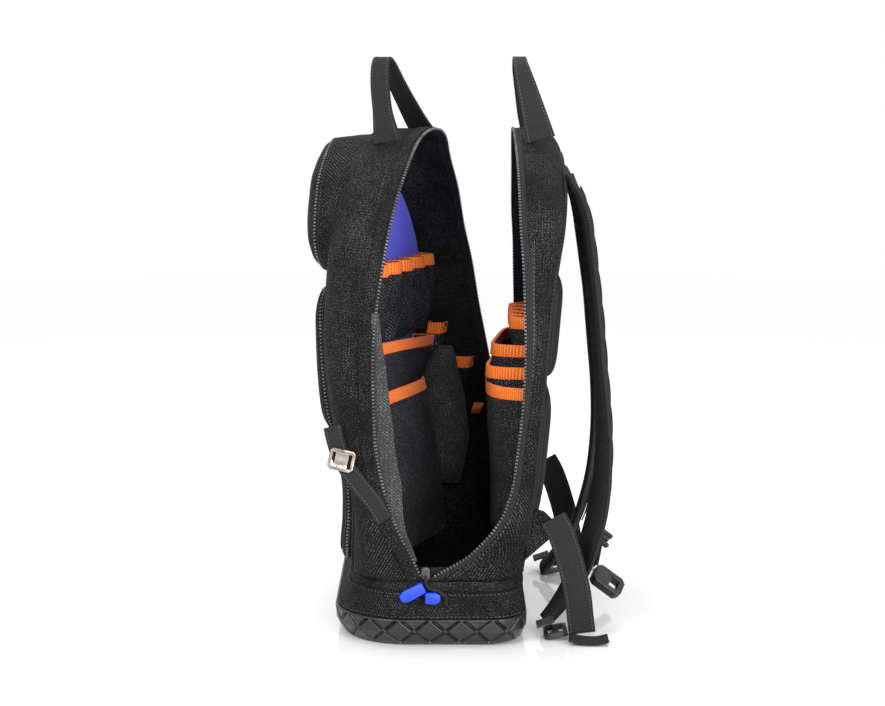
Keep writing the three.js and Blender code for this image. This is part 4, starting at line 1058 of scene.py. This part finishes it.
def hung(rows, side):
    """Rows as they are on the near side, or carried to the far side, where the strap hangs further back."""
    rows = np.array(rows, dtype=float)
    if side == "far":
        rows[:, [1, 4]] *= -1
        rows[:, 0] += 8 * MM * (1 - rows[:, 2] / HEIGHT)
    return rows


turn = np.linspace(-math.pi, math.pi, 33)
PADDED = np.array([[math.copysign(abs(math.cos(a)) ** 0.55, math.cos(a)),
                    math.copysign(abs(math.sin(a)) ** 0.8, math.sin(a))] for a in turn])
for side in ("near", "far"):
    rows = hung([[HALF_DEPTH + back * STRAP_WIDTH, -y * MM, up * HEIGHT, -tilt, 1, 0, wide * STRAP_WIDTH,
                  9.5 * MM] for back, up, y, wide, tilt in STRAP], side)
    pad, at, across, out = ribbon(f"shoulder_strap_{side}", rows, PADDED, count=STRAP_STEPS)
    belongs(pad, "mesh", f"strap_{side}")
    outward = out * np.sign(out[60, 0])
    widths = smooth_path(rows, STRAP_STEPS)[0][:, 6]
    for edge, hand in ((-1, "left"), (1, "right")):
        line = at + across * (widths * 0.5 * edge)[:, None]
        belongs(piping(f"strap_edge_{side}_{hand}", line[1:-1], 1.8 * MM), "webbing", f"strap_{side}")
    lift = 5.2 * MM + 1.1 * MM * np.abs(np.sin(np.pi * np.linspace(0, 1, STRAP_STEPS) * TACKS)) ** 0.6
    sizes = np.tile([WEBBING, 1.3 * MM], (STRAP_STEPS, 1))
    chain = np.c_[at + outward * lift[:, None], across, sizes]
    belongs(ribbon(f"daisy_chain_{side}", chain[6:-26], count=240)[0], "webbing", f"strap_{side}")
    for k in range(1, TACKS):
        j = min(int(k / TACKS * STRAP_STEPS), 140)
        bar = [chain[j, :3] + across[j] * c * MM - outward[j] * 0.6 * MM for c in np.linspace(-11, 11, 12)]
        sew(np.array(bar) + outward[j] * 1.4 * MM, np.tile(outward[j], (12, 1)), pitch=2.2 * MM)

# %% [markdown]
# ## Webbings, tails and chest strap
# From the foot of each shoulder strap a webbing runs forward to the cloth wing at the side of the
# foot, passes a ladder lock and leaves a free tail. Two short ends of webbing hold the chest buckle.
# All of them are ribbons again. Each row is in millimetres: x and z of the long webbing, then the
# direction of its width, which turns on its way, and x, y and z of the tail and of the chest strap.

# %% Webbings, tails and chest strap
SIDE_LINE = 138 * MM
WEB = [(112, 117, 0.88, 0.47), (119, 104, 0.92, 0.39), (126, 84, 0.95, 0.31), (132, 62, 0.96, 0.28),
       (136, 42, 0.98, 0.2), (138, 24, 1, 0.08), (140, 8, 1, 0)]
TAIL = [(127.4, 7, 5.0), (142, 8, 2.6), (153, 8, 2.2), (164, 8, 4.5)]
CHEST = [(161.7, 80, 113), (162.6, 81, 98), (160.1, 84, 78), (156.2, 88, 59.6)]
for side in ("near", "far"):
    web = [[x * MM, -SIDE_LINE - 2.8 * MM, z * MM, a, 0, c, WEBBING, WEB_THICK] for x, z, a, c in WEB]
    band, at, across, out = ribbon(f"side_webbing_{side}", hung(web, side), count=60)
    belongs(band, "webbing", f"strap_webbing_{side}")
    sew_ribbon(at, across, out, np.full(60, WEBBING), 1.9 * MM)
    tail = [[x * MM, -SIDE_LINE - y * MM, z * MM, 0, 1, 0, WEBBING, WEB_THICK] for x, y, z in TAIL]
    belongs(ribbon(f"webbing_tail_{side}", hung(tail, side), count=40)[0], "webbing", f"strap_tail_{side}")
    chest = [[x * MM, -y * MM, z * MM, 0, 1, 0, 19 * MM, WEB_THICK] for x, y, z in CHEST]
    belongs(ribbon(f"chest_strap_{side}", hung(chest, side), count=40)[0], "webbing", f"chest_webbing_{side}")

# %% [markdown]
# ## Side strap and its clip
# A narrow webbing hangs down the near side of the front half and carries a metal clip with a small
# lever. The strap and the lever are ribbons, and each row of the strap has its height and its depth.

# %% Side strap and its clip
SIDE_WEB = 16 * MM
SIDE_STRAP = [(206, 3), (190, 1), (174, 2), (156, 9), (138, 20), (120, 30)]
rows = [[*place(FRONT, -HALF_WIDTH - 2.6 * MM, v * MM, w * MM), 1, 0, 0, SIDE_WEB, WEB_THICK]
        for v, w in SIDE_STRAP]
band, at, across, out = ribbon("clip_webbing", rows, count=60)
belongs(band, "webbing", "side_strap")
sew_ribbon(at, across, out, np.full(60, SIDE_WEB), 1.9 * MM, 0.36)
clip_middle = place(FRONT, -HALF_WIDTH - 6.8 * MM, 176 * MM, 2 * MM)
lever = [[*(clip_middle + np.array([0.22, -0.05 * k, 0.97]) * k * 2.6 * MM), 0.97, 0, -0.22, 12 * MM, 2 * MM]
         for k in (-3, -1.5, 0, 1.5, 3)]
belongs(ribbon("clip_lever", lever, count=16)[0], "metal", "side_clip")

# %% [markdown]
# ## Pull cord
# A round cord ties the two moulded tabs to the zip slider. It is short and lies behind them, so its
# route is a smooth line through a few stops, and its length is measured along that line.

# %% Pull cord
CORD = [(-5, 68), (-4, 60), (-1, 56.5), (6, 54.5), (13, 49), (14, 41)]
cord_path = smooth_path([[x * MM, -165.8 * MM, z * MM] for x, z in CORD], 60)[0]
cord = belongs(piping("zip_pull_cord", cord_path, 1.5 * MM, sides=6), "webbing", "pull_cord")

# %% [markdown]
# ## Back pads
# Two pads of foam under open mesh rest on the wearer's back. Their faces are crowned, thin at the
# edge, with three shallow channels that let air pass. A formula on the place within the pad gives all
# of that in one sheet, and the face that shows is the one that the wearer feels.

# %% Back pads
for name, foot, top, width in (("back_pad_upper", 238, 332, 200), ("back_pad_lower", 92, 224, 210)):
    half_u, half_v, middle = width / 2 * MM, (top - foot) / 2 * MM, (foot + top) / 2 * MM

    def pad_face(s, t, half_u=half_u, half_v=half_v, middle=middle):
        a, b = 2 * s - 1, 2 * t - 1
        round_u = a * np.sqrt(1 - 0.12 * b ** 6)
        round_v = b * np.sqrt(1 - 0.16 * a ** 6)
        full = (np.clip(1 - np.abs(a) ** 6, 0, 1) * np.clip(1 - np.abs(b) ** 5, 0, 1)) ** 0.4
        channel = 1 - 0.28 * np.exp(-(a / 0.05) ** 2) - 0.2 * np.exp(-((np.abs(a) - 0.55) / 0.04) ** 2)
        return place(BACK, round_u * half_u, middle + round_v * half_v, -0.8 * MM - 11.6 * MM * full * channel)
    pad = lay_sheet(f"{name}_foam", 110, 64, pad_face,
                    lambda s, t, f, w=width, h=top - foot: (s * w * MM, t * h * MM), (0.05, 0, middle), merge=False)
    modify(pad, "SOLIDIFY", thickness=0.7 * MM, offset=-1, use_rim=True)
    belongs(pad, "mesh", name)

# %% [markdown]
# ## Cloth of the foot
# Above the rubber a band of cloth runs round the foot and ends in a folded welt. Inside, a second band
# and a floor close the bag, as they show between the open halves. All four are sheets laid round one
# rounded oblong, so their seams can't drift apart.

# %% Cloth of the foot
FOOT_ROUND = 0.93


def base_plan(front, back, half, radii=(0.07, 0.036), inset=0.0):
    """A rounded oblong, walked from the middle of its near side in even steps of length."""
    points = [((front + back) / 2, -half + inset)]
    for x, y, r, start in ((back, -half, radii[1], -90), (back, half, radii[1], 0), (front, half, radii[0], 90),
                           (front, -half, radii[0], 180)):
        cx, cy = x - math.copysign(r, x), y - math.copysign(r, y)
        for k in range(25):
            angle = math.radians(start + 3.75 * k)
            points.append((cx + (r - inset) * math.cos(angle), cy + (r - inset) * math.sin(angle)))
    points = np.array(points + points[:1])
    length = added_up(np.hypot(*np.diff(points, axis=0).T))

    def plan(share):
        at = (np.asarray(share) % 1) * length[-1]
        return np.interp(at, length, points[:, 0]), np.interp(at, length, points[:, 1])
    return plan, float(length[-1])


BASE = (-HALF_DEPTH - 1 * MM, HALF_DEPTH - 1 * MM, 165 * MM)
BAND_FOOT = (BASE[0] + 2 * MM, BASE[1] - 1 * MM, BASE[2] - 1.5 * MM)
BAND_TOP = (-0.86 * HALF_DEPTH, 0.94 * HALF_DEPTH, HALF_WIDTH + 1.5 * MM)


def ring_cloth(height):
    return lambda s, t, face: (s * FOOT_ROUND, t * height)


def band(s, t):
    foot, top = base_plan(*BAND_FOOT)[0](s), base_plan(*BAND_TOP)[0](s)
    return np.stack([mix(foot[0], top[0], t), mix(foot[1], top[1], t), mix(27.4 * MM, 52 * MM, t)], axis=-1)


foot_band = lay_sheet("foot_band_cloth", 320, 12, band, ring_cloth(25 * MM), (0, 0, 0.04))
ruffle(foot_band, 0.9 * MM, 40 * MM, seed=31)
modify(foot_band, "SOLIDIFY", thickness=WALL, offset=-1, use_rim=True)
belongs(foot_band, "cloth", "foot_band")


def inner_foot(s, t):
    x, y = base_plan(*BAND_TOP, inset=6 * MM)[0](s)
    return np.stack([x, y, mix(18 * MM, 74 * MM, t)], axis=-1)


inside_band = lay_sheet("inner_foot_cloth", 200, 6, inner_foot, ring_cloth(56 * MM), (0, 0, 0.04),
                        thickness=1.4 * MM)
belongs(inside_band, "cloth", "foot_band")


def foot_floor(s, t):
    x, y = base_plan(*BAND_TOP, inset=6 * MM)[0](s)
    return np.stack([x * t, y * t, np.full_like(t, 19 * MM)], axis=-1)


ground = lay_sheet("foot_floor_cloth", 200, 10, foot_floor, ring_cloth(0.16), (0, 0, -1), thickness=1.4 * MM)
belongs(ground, "cloth", "foot_band")
WELT = np.array([[52.3, 0], [53.4, 1.1], [55.6, 1.6], [58.6, 1.6], [60.8, 1.0], [62.0, 0]]) * MM


def welt(s, t):
    z = np.interp(t, np.linspace(0, 1, len(WELT)), WELT[:, 0])
    proud = np.interp(t, np.linspace(0, 1, len(WELT)), WELT[:, 1])
    x, y = base_plan(*BAND_TOP)[0](s)
    grow = 1 + proud / HALF_WIDTH
    return np.stack([x * grow + np.where(x < 0, (z - WELT[0, 0]) * 0.35, 0), y * grow, z], axis=-1)


foot_welt = lay_sheet("foot_welt_fold", 320, 10, welt, ring_cloth(12 * MM), (0, 0, 0.057), thickness=3.4 * MM)
belongs(foot_welt, "cloth", "foot_welt")
for t in (0.07, 0.9):
    sew(*surface_line(band, np.linspace(0, 1, 500), t, PROUD))

# %% [markdown]
# ## The rubber foot
# The foot is a moulded cup whose wall carries a tread of diamonds. The tread is one closed sheet that
# runs from the middle of the cup over its rim, down the outer wall and under to the middle again. The
# distance from two families of slanting lines sinks the grooves and lifts each diamond between them.
# Each row has the way along the sheet, a height and how far the sheet is drawn in, in millimetres.
# Copied blocks could make the tread too, but one sheet keeps the rubber closed and smooth.

# %% Rubber foot with its tread
TREADS = 32
FOOT_ROWS = np.array([[0, 5, 160], [0.06, 5, 26], [0.12, 14, 7.6], [0.18, 26.4, 4.6], [0.2, 27, 4], [0.24, 27, 1],
                      [0.26, 26.3, 0.2], [0.28, 25, 0], [0.56, 14, 1.2], [0.84, 3.4, 9], [0.87, 1.6, 12],
                      [0.9, 0.2, 17], [1, 0, 160]])
foot_plan, foot_round = base_plan(*BASE)


def rubber_foot(s, t):
    z = np.interp(t, FOOT_ROWS[:, 0], FOOT_ROWS[:, 1]) * MM
    inset = np.interp(t, FOOT_ROWS[:, 0], FOOT_ROWS[:, 2]) * MM
    height = np.clip((0.84 - t) / 0.56, 0, 1)
    one, other = s * TREADS + height * 0.9, s * TREADS - height * 0.9
    off = np.minimum(np.abs(one - np.round(one)), np.abs(other - np.round(other))) * foot_round / TREADS * 0.62
    wall = np.clip((t - 0.27) / 0.02, 0, 1) * np.clip((0.86 - t) / 0.02, 0, 1)
    groove = np.clip(1.25 - off / (1.5 * MM), 0, 1)
    inset = inset + wall * (groove * 2.9 + np.clip(off / (8 * MM), 0, 1) * 0.5) * MM
    x, y = foot_plan(s)
    middle = (BASE[0] + BASE[1]) / 2
    pull = np.minimum(inset / np.hypot(x - middle, y), 1)
    inward = np.clip(inset / (160 * MM), 0, 1)
    pull = np.where(inward > 0.3, mix(pull, 1, (inward - 0.3) / 0.7), pull)
    return np.stack([x + (middle - x) * pull, y * (1 - pull), z], axis=-1)


boot = lay_sheet("rubber_foot", 1152, 64, rubber_foot, ring_cloth(80 * MM), None, smooth=55)
in_edit(boot, lambda: bpy.ops.mesh.normals_make_consistent(inside=False))
belongs(boot, "rubber", "base_boot")

# %% [markdown]
# ## Hard parts
# The locks, buckles, clip, slider and pull tabs are moulded or cast, so their edges are round. Each
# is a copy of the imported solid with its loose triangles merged, its flat faces joined and its edges
# bevelled, which keeps every slot in its place. Each row has its finish and the width of its bevel.

# %% Bevelled hard parts
HARD = {"ladder_lock_near": ("plastic", 1.1), "ladder_lock_far": ("plastic", 1.1),
        "chest_buckle_socket": ("plastic", 1.8), "chest_buckle_prong": ("plastic", 0.7),
        "side_clip": ("metal", 0.8), "zip_slider": ("dark_metal", 1.0),
        "pull_tab_long": ("pull", 1.3), "pull_tab_short": ("pull", 1.3),
        "strap_wing_near": ("cloth", 0.8), "strap_wing_far": ("cloth", 0.8)}
for node, (finish_name, radius) in HARD.items():
    copy = bpy.data.objects.new(f"{node}_shaped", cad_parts[node].data.copy())
    bpy.context.collection.objects.link(copy)
    in_edit(copy, lambda: bpy.ops.mesh.remove_doubles(threshold=1e-5),
            lambda: bpy.ops.mesh.dissolve_limited(angle_limit=math.radians(2)))
    modify(copy, "BEVEL", width=radius * MM, segments=3, limit_method="ANGLE", angle_limit=math.radians(35))
    flat_uv(copy, [0, 2])
    bpy.ops.object.shade_smooth_by_angle(angle=math.radians(40))
    belongs(copy, finish_name, node)

# %% [markdown]
# ## Reflective tabs
# A short grey tab of reflective cloth lies beside each lock. It is a small flat ribbon, a little
# further back on the far side, where the strap hangs so too.

# %% Reflective tabs
for side, hand, shift in (("near", -1, 0), ("far", 1, 8 * MM)):
    rows = [[(98 + 4 * k) * MM + shift, hand * (SIDE_LINE - 8 * MM), (13 + 1.4 * k) * MM, 0, 1, 0, 22 * MM,
             1.6 * MM] for k in range(5)]
    belongs(ribbon(f"reflective_tab_{side}", rows, count=16)[0], "facing", f"ladder_lock_{side}")

# %% [markdown]
# ## Seams
# A seam reads as sewn only when single stitches show. All the rows noted above are laid now, with one
# small faceted bead for a stitch, and each thread becomes one mesh. A bump in the cloth's finish would
# be cheaper, but it wouldn't catch the light from the side.

# %% Seams
for thread, frames in seams.items():
    stitches = repeat(f"{thread}_stitches", stitch, np.concatenate(frames))
    belongs(stitches, f"thread_{thread}")

# %% [markdown]
# ## Shader maths in plain Python
# A weave is a sum of waves, and a sum is easier to read as Python than as a row of nodes. This small
# class wraps one socket of a material, and arithmetic on it adds the Math nodes. What varies feeds
# only colour, roughness and the bump, and what is the same all over is set on the shader's own socket.

# %% A socket that can be added and multiplied
class Wire:
    """One socket of a material. Arithmetic on it adds Math nodes to the same material."""

    def __init__(self, tree, socket=None):
        self.tree, self.socket = tree, socket

    def node(self, kind, settings=None, inputs=None, output=0):
        new = self.tree.nodes.new(kind)
        for name, value in (settings or {}).items():
            if name == "stops":
                while len(new.color_ramp.elements) < len(value):
                    new.color_ramp.elements.new(0.5)
                for element, (at, colour) in zip(new.color_ramp.elements, value):
                    element.position, element.color = at, colour
            else:
                setattr(new, name, value)
        for name, value in (inputs or {}).items():
            if isinstance(value, Wire):
                self.tree.links.new(value.socket, new.inputs[name])
            else:
                new.inputs[name].default_value = value
        return Wire(self.tree, new.outputs[output])

    def maths(self, operation, *values):
        return self.node("ShaderNodeMath", {"operation": operation}, dict(enumerate(values)))

    def __add__(self, other):
        return self.maths("ADD", self, other)

    def __sub__(self, other):
        return self.maths("SUBTRACT", self, other)

    def __rsub__(self, other):
        return self.maths("SUBTRACT", other, self)

    def __mul__(self, other):
        return self.maths("MULTIPLY", self, other)

    __radd__, __rmul__ = __add__, __mul__

    def wave(self):
        """A smooth wave from 0 to 1, one for each whole number."""
        return self.maths("SINE", self * (2 * math.pi)) * 0.5 + 0.5

    def between(self, low, high):
        return self.node("ShaderNodeMapRange", {"clamp": True}, {0: self, 1: low, 2: high})

    def mix(self, dark, light):
        return self.node("ShaderNodeMix", {"data_type": "RGBA"}, {0: self, 6: dark, 7: light}, 2)


def finish(name, build, **constants):
    """A material whose varying sockets come from build(start), and whose constants are set directly."""
    material = bpy.data.materials.new(name)
    material.use_nodes = True
    tree = material.node_tree
    surface = tree.nodes["Principled BSDF"]
    for socket, value in constants.items():
        surface.inputs[socket.replace("_", " ")].default_value = value
    for socket, value in build(Wire(tree)).items():
        tree.links.new(value.socket, surface.inputs[socket])
    return material


def speckle(start, scale, detail=3.0, roughness=0.6):
    where = start.node("ShaderNodeTexCoord", {}, {}, "Object")
    return start.node("ShaderNodeTexNoise", {}, {"Vector": where, "Scale": scale, "Detail": detail,
                                                 "Roughness": roughness})


def grey(value, blue=1.04):
    return (value, value, value * blue, 1)


print("grey of 0.07 is", [round(part, 3) for part in grey(0.07)])

# %% [markdown]
# ## Woven finishes
# The body is a heavy cloth whose diagonal ribs are broken into dashes, and the glint of light on the ribs is
# painted into its colour. Webbing and binding are ribbed across, the lining is fine, and the pads are open
# mesh; on them the rib tops and threads are painted lighter and the grooves and holes darker, as painted light
# and shade. All read the "cloth" UV map, which is in real metres, so a rib keeps its width on every piece. An
# image could give the weave too, but waves stay sharp at any distance. The noise that dulls the painted glint
# here and there reads Object coordinates.

# %% Woven finishes
def cloth_uv(start):
    apart = start.node("ShaderNodeSeparateXYZ", {}, {0: start.node("ShaderNodeUVMap", {"uv_map": "cloth"})})
    return apart, Wire(start.tree, apart.socket.node.outputs[1])


def bump(start, strength, distance, height):
    return start.node("ShaderNodeBump", {}, {"Strength": strength, "Distance": distance, "Height": height})


def twill(dark, light, pitch=2.1 * MM, lean=0.75, depth=0.3 * MM):
    def build(start):
        u, v = cloth_uv(start)
        diagonal = (u * math.cos(lean) + v * math.sin(lean)) * (1 / pitch)
        cross = (v * math.cos(lean) - u * math.sin(lean)) * (1 / (pitch * 1.7))
        rib = diagonal.wave()
        dash = (cross + diagonal.maths("FLOOR", diagonal) * 0.5).wave()
        fine = (u * (1 / (0.9 * MM))).wave() * (v * (1 / (0.9 * MM))).wave()
        fleck = speckle(start, 900, 2).between(0.35, 0.75)
        patches = speckle(start, 28, 3).between(0.3, 0.7)
        height = rib * 0.5 + dash * 0.25 + fine * 0.25
        # painted highlight: light catching the raised ribs, flecked and dulled in patches at random
        painted_glint = height * fleck * (patches * 0.5 + 0.5)
        # painted highlight: the base colour turns light where the painted glint on the ribs falls
        colour = painted_glint.between(0.12, 0.55).mix(dark, light)
        return {"Base Color": colour, "Roughness": 0.9 - painted_glint * 0.35,
                "Normal": bump(start, 0.8, depth, height + fleck * 0.4)}
    return build


def ribbed(dark, light, pitch=1.3 * MM, across=False, depth=0.2 * MM):
    def build(start):
        u, v = cloth_uv(start)
        run, cross = (u, v) if across else (v, u)
        ribs = run * (1 / pitch)
        rib = ribs.wave()
        thread = (cross * (1 / (1.6 * MM)) + ribs.maths("FLOOR", ribs) * 0.5).wave()
        fleck = speckle(start, 800, 2).between(0.3, 0.75)
        height = rib * 0.65 + thread * 0.35
        # painted light and shade: the colour follows the rib height, so rib tops are painted lighter and the
        # grooves painted darker; the fleck adds random tone
        colour = (height * 0.7 + fleck * 0.3).between(0.1, 0.95).mix(dark, light)
        return {"Base Color": colour, "Roughness": 0.85 - height * 0.25,
                "Normal": bump(start, 0.8, depth, height + fleck * 0.3)}
    return build


def open_mesh(dark, light, pitch=2.6 * MM):
    def build(start):
        u, v = cloth_uv(start)
        holes = ((u * (1 / pitch)).wave() * (v * (1 / pitch)).wave()).between(0.25, 0.6)
        fleck = speckle(start, 700, 2).between(0.3, 0.75)
        # painted shade: the holes of the mesh are painted dark and the threads lighter, as shade falls into the
        # holes; the fleck adds random tone
        colour = ((1 - holes) * 0.6 + fleck * 0.4).mix(dark, light)
        return {"Base Color": colour, "Roughness": 0.95 - fleck * 0.25,
                "Normal": bump(start, 0.9, 0.4 * MM, 1 - holes)}
    return build


DULL, DIM = {"Specular_IOR_Level": 0.15}, {"Specular_IOR_Level": 0.25}
# In the twill finishes the second grey is the colour of the painted glint on the ribs; in the ribbed and mesh
# finishes the second colour is the painted light on rib tops and threads, and the first the painted shade in
# grooves and holes.
finishes = {
    "cloth": finish("heavy_diagonal_cloth", twill(grey(0.001), grey(0.07)), **DULL),
    "pocket": finish("pocket_cloth", twill(grey(0.003), grey(0.13), 2.3 * MM), **DIM),
    "facing": finish("grey_facing_cloth", twill(grey(0.02), grey(0.16), 2.3 * MM), **DIM),
    "lining": finish("violet_lining", ribbed((0.035, 0.04, 0.5, 1), (0.075, 0.085, 0.85, 1), 0.8 * MM),
                     Sheen_Weight=0.2),
    "binding": finish("orange_grosgrain", ribbed((0.5, 0.035, 0.001, 1), (1.0, 0.29, 0.012, 1), 2.2 * MM,
                                                 across=True), Sheen_Weight=0.05),
    "webbing": finish("black_webbing", ribbed(grey(0.001), grey(0.024), 1.6 * MM), **DULL),
    "mesh": finish("spacer_mesh", open_mesh(grey(0.001), grey(0.026)), **DULL),
}
print("woven finishes", list(finishes))

# %% [markdown]
# ## Moulded and cast finishes
# Rubber, plastic and metal have no weave. A fine grain breaks up their gloss, and a coarser one makes
# the colour uneven, as handling does. The stitches and zip teeth are so small that the same plain
# finish serves them.

# %% Moulded and cast finishes
def moulded(dark, light, scale=500, depth=0.06 * MM, rough=(0.35, 0.55)):
    def build(start):
        grain, wear = speckle(start, scale, 4), speckle(start, 60, 4)
        return {"Base Color": wear.between(0.3, 0.75).mix(dark, light),
                "Roughness": grain.between(0.2, 0.8) * (rough[1] - rough[0]) + rough[0],
                "Normal": bump(start, 0.5, depth, grain)}
    return build


finishes.update({
    "rubber": finish("moulded_rubber", moulded(grey(0.002), grey(0.008), 700, 0.05 * MM, (0.3, 0.45))),
    "plastic": finish("black_plastic", moulded(grey(0.004), grey(0.012))),
    "metal": finish("dark_chrome", moulded((0.1, 0.075, 0.065, 1), (0.5, 0.44, 0.4, 1), 120, 0.02 * MM,
                                           (0.1, 0.28)), Metallic=1.0),
    "dark_metal": finish("blackened_slider", moulded(grey(0.01), grey(0.04), 300, 0.02 * MM, (0.25, 0.4))),
    "pull": finish("blue_rubber_pull", moulded((0.0, 0.02, 0.5, 1), (0.0, 0.045, 0.75, 1), 600)),
    "teeth": finish("zip_teeth", moulded(grey(0.015), grey(0.14), 300, 0.02 * MM, (0.25, 0.45))),
    "thread_cloth": finish("dark_thread", moulded(grey(0.006), grey(0.035), 900)),
    "thread_binding": finish("orange_thread", moulded((0.5, 0.04, 0.002, 1), (0.9, 0.16, 0.01, 1), 900)),
})
print("all finishes", list(finishes))

# %% [markdown]
# ## Dressing the pieces
# Every piece noted under a finish now gets its material and the slot that it fills, so a finish can be
# changed in one place. The single stitch and the single tooth were patterns, and they are cleared away.

# %% Dressing the pieces
for finish_name, pieces in made.items():
    for piece in pieces:
        piece.data.materials.clear()
        piece.data.materials.append(finishes[finish_name])
    print(finish_name, "dresses", len(pieces), "pieces")

bpy.data.objects.remove(stitch)
bpy.data.objects.remove(tooth)

# %% [markdown]
# ## Floor
# The photograph has white all round and a faint mirror image under the foot. A pale glossy disc gives
# that image and fades to clear at its edge, so the white world shows past it without a line. A curved
# backdrop is the usual way, but it would stand in the way of other views.

# %% Floor
FLOOR_GREY, FLOOR_ROUGHNESS = 0.7, 0.07
FADE_FROM, FADE_TO = 0.9, 3.2
bpy.ops.object.select_all(action="DESELECT")
bpy.ops.mesh.primitive_circle_add(vertices=96, radius=4, fill_type="NGON", location=(0, 0, -0.0004))
floor = bpy.context.object
floor.name = "studio_floor"
floor_finish = bpy.data.materials.new("pale_floor")
floor_finish.use_nodes = True
tree = floor_finish.node_tree
start = Wire(tree)
where = start.node("ShaderNodeTexCoord", {}, {}, "Object")
far_off = start.node("ShaderNodeVectorMath", {"operation": "LENGTH"}, {0: where}, 1).between(FADE_FROM, FADE_TO)
clear = start.node("ShaderNodeBsdfTransparent")
glossy = tree.nodes["Principled BSDF"]
glossy.inputs["Base Color"].default_value = grey(FLOOR_GREY, 1)
glossy.inputs["Roughness"].default_value = FLOOR_ROUGHNESS
blend = start.node("ShaderNodeMixShader", {}, {0: far_off, 1: Wire(tree, glossy.outputs[0]), 2: clear})
tree.links.new(blend.socket, tree.nodes["Material Output"].inputs["Surface"])
floor.data.materials.append(floor_finish)
print("floor fades from", FADE_FROM, "to", FADE_TO, "m")

# %% [markdown]
# ## Lights
# Dark cloth shows its weave only when light grazes it. Two large soft lights stand to the left and
# right of the camera, a small one lifts the open middle, and one over the bag draws its top edges.
# The white world fills the shade.

# %% Lights
def softbox(name, at, aim, size, power):
    """A square soft light that faces a point."""
    bpy.ops.object.light_add(type="AREA", location=at)
    lamp = bpy.context.object
    lamp.name = name
    lamp.data.size = size
    lamp.data.energy = power
    lamp.rotation_euler = (Vector(aim) - Vector(at)).to_track_quat("-Z", "Y").to_euler()
    print(name, power, "W")


softbox("key_softbox", (-1.3, -1.9, 1.7), (0, 0, 0.3), 1.0, 52)
softbox("fill_softbox", (1.35, -1.9, 0.8), (-0.03, 0.03, 0.2), 0.8, 42)
softbox("front_softbox", (0.35, -2.1, 0.75), (0.0, 0, 0.2), 0.5, 16)
softbox("top_softbox", (0.0, 0.4, 2.3), (0, 0, 0.2), 1.6, 35)
world = bpy.data.worlds.new("studio")
bpy.context.scene.world = world
world.use_nodes = True
world.node_tree.nodes["Background"].inputs["Color"].default_value = (1, 1, 1, 1)
world.node_tree.nodes["Background"].inputs["Strength"].default_value = 1.0
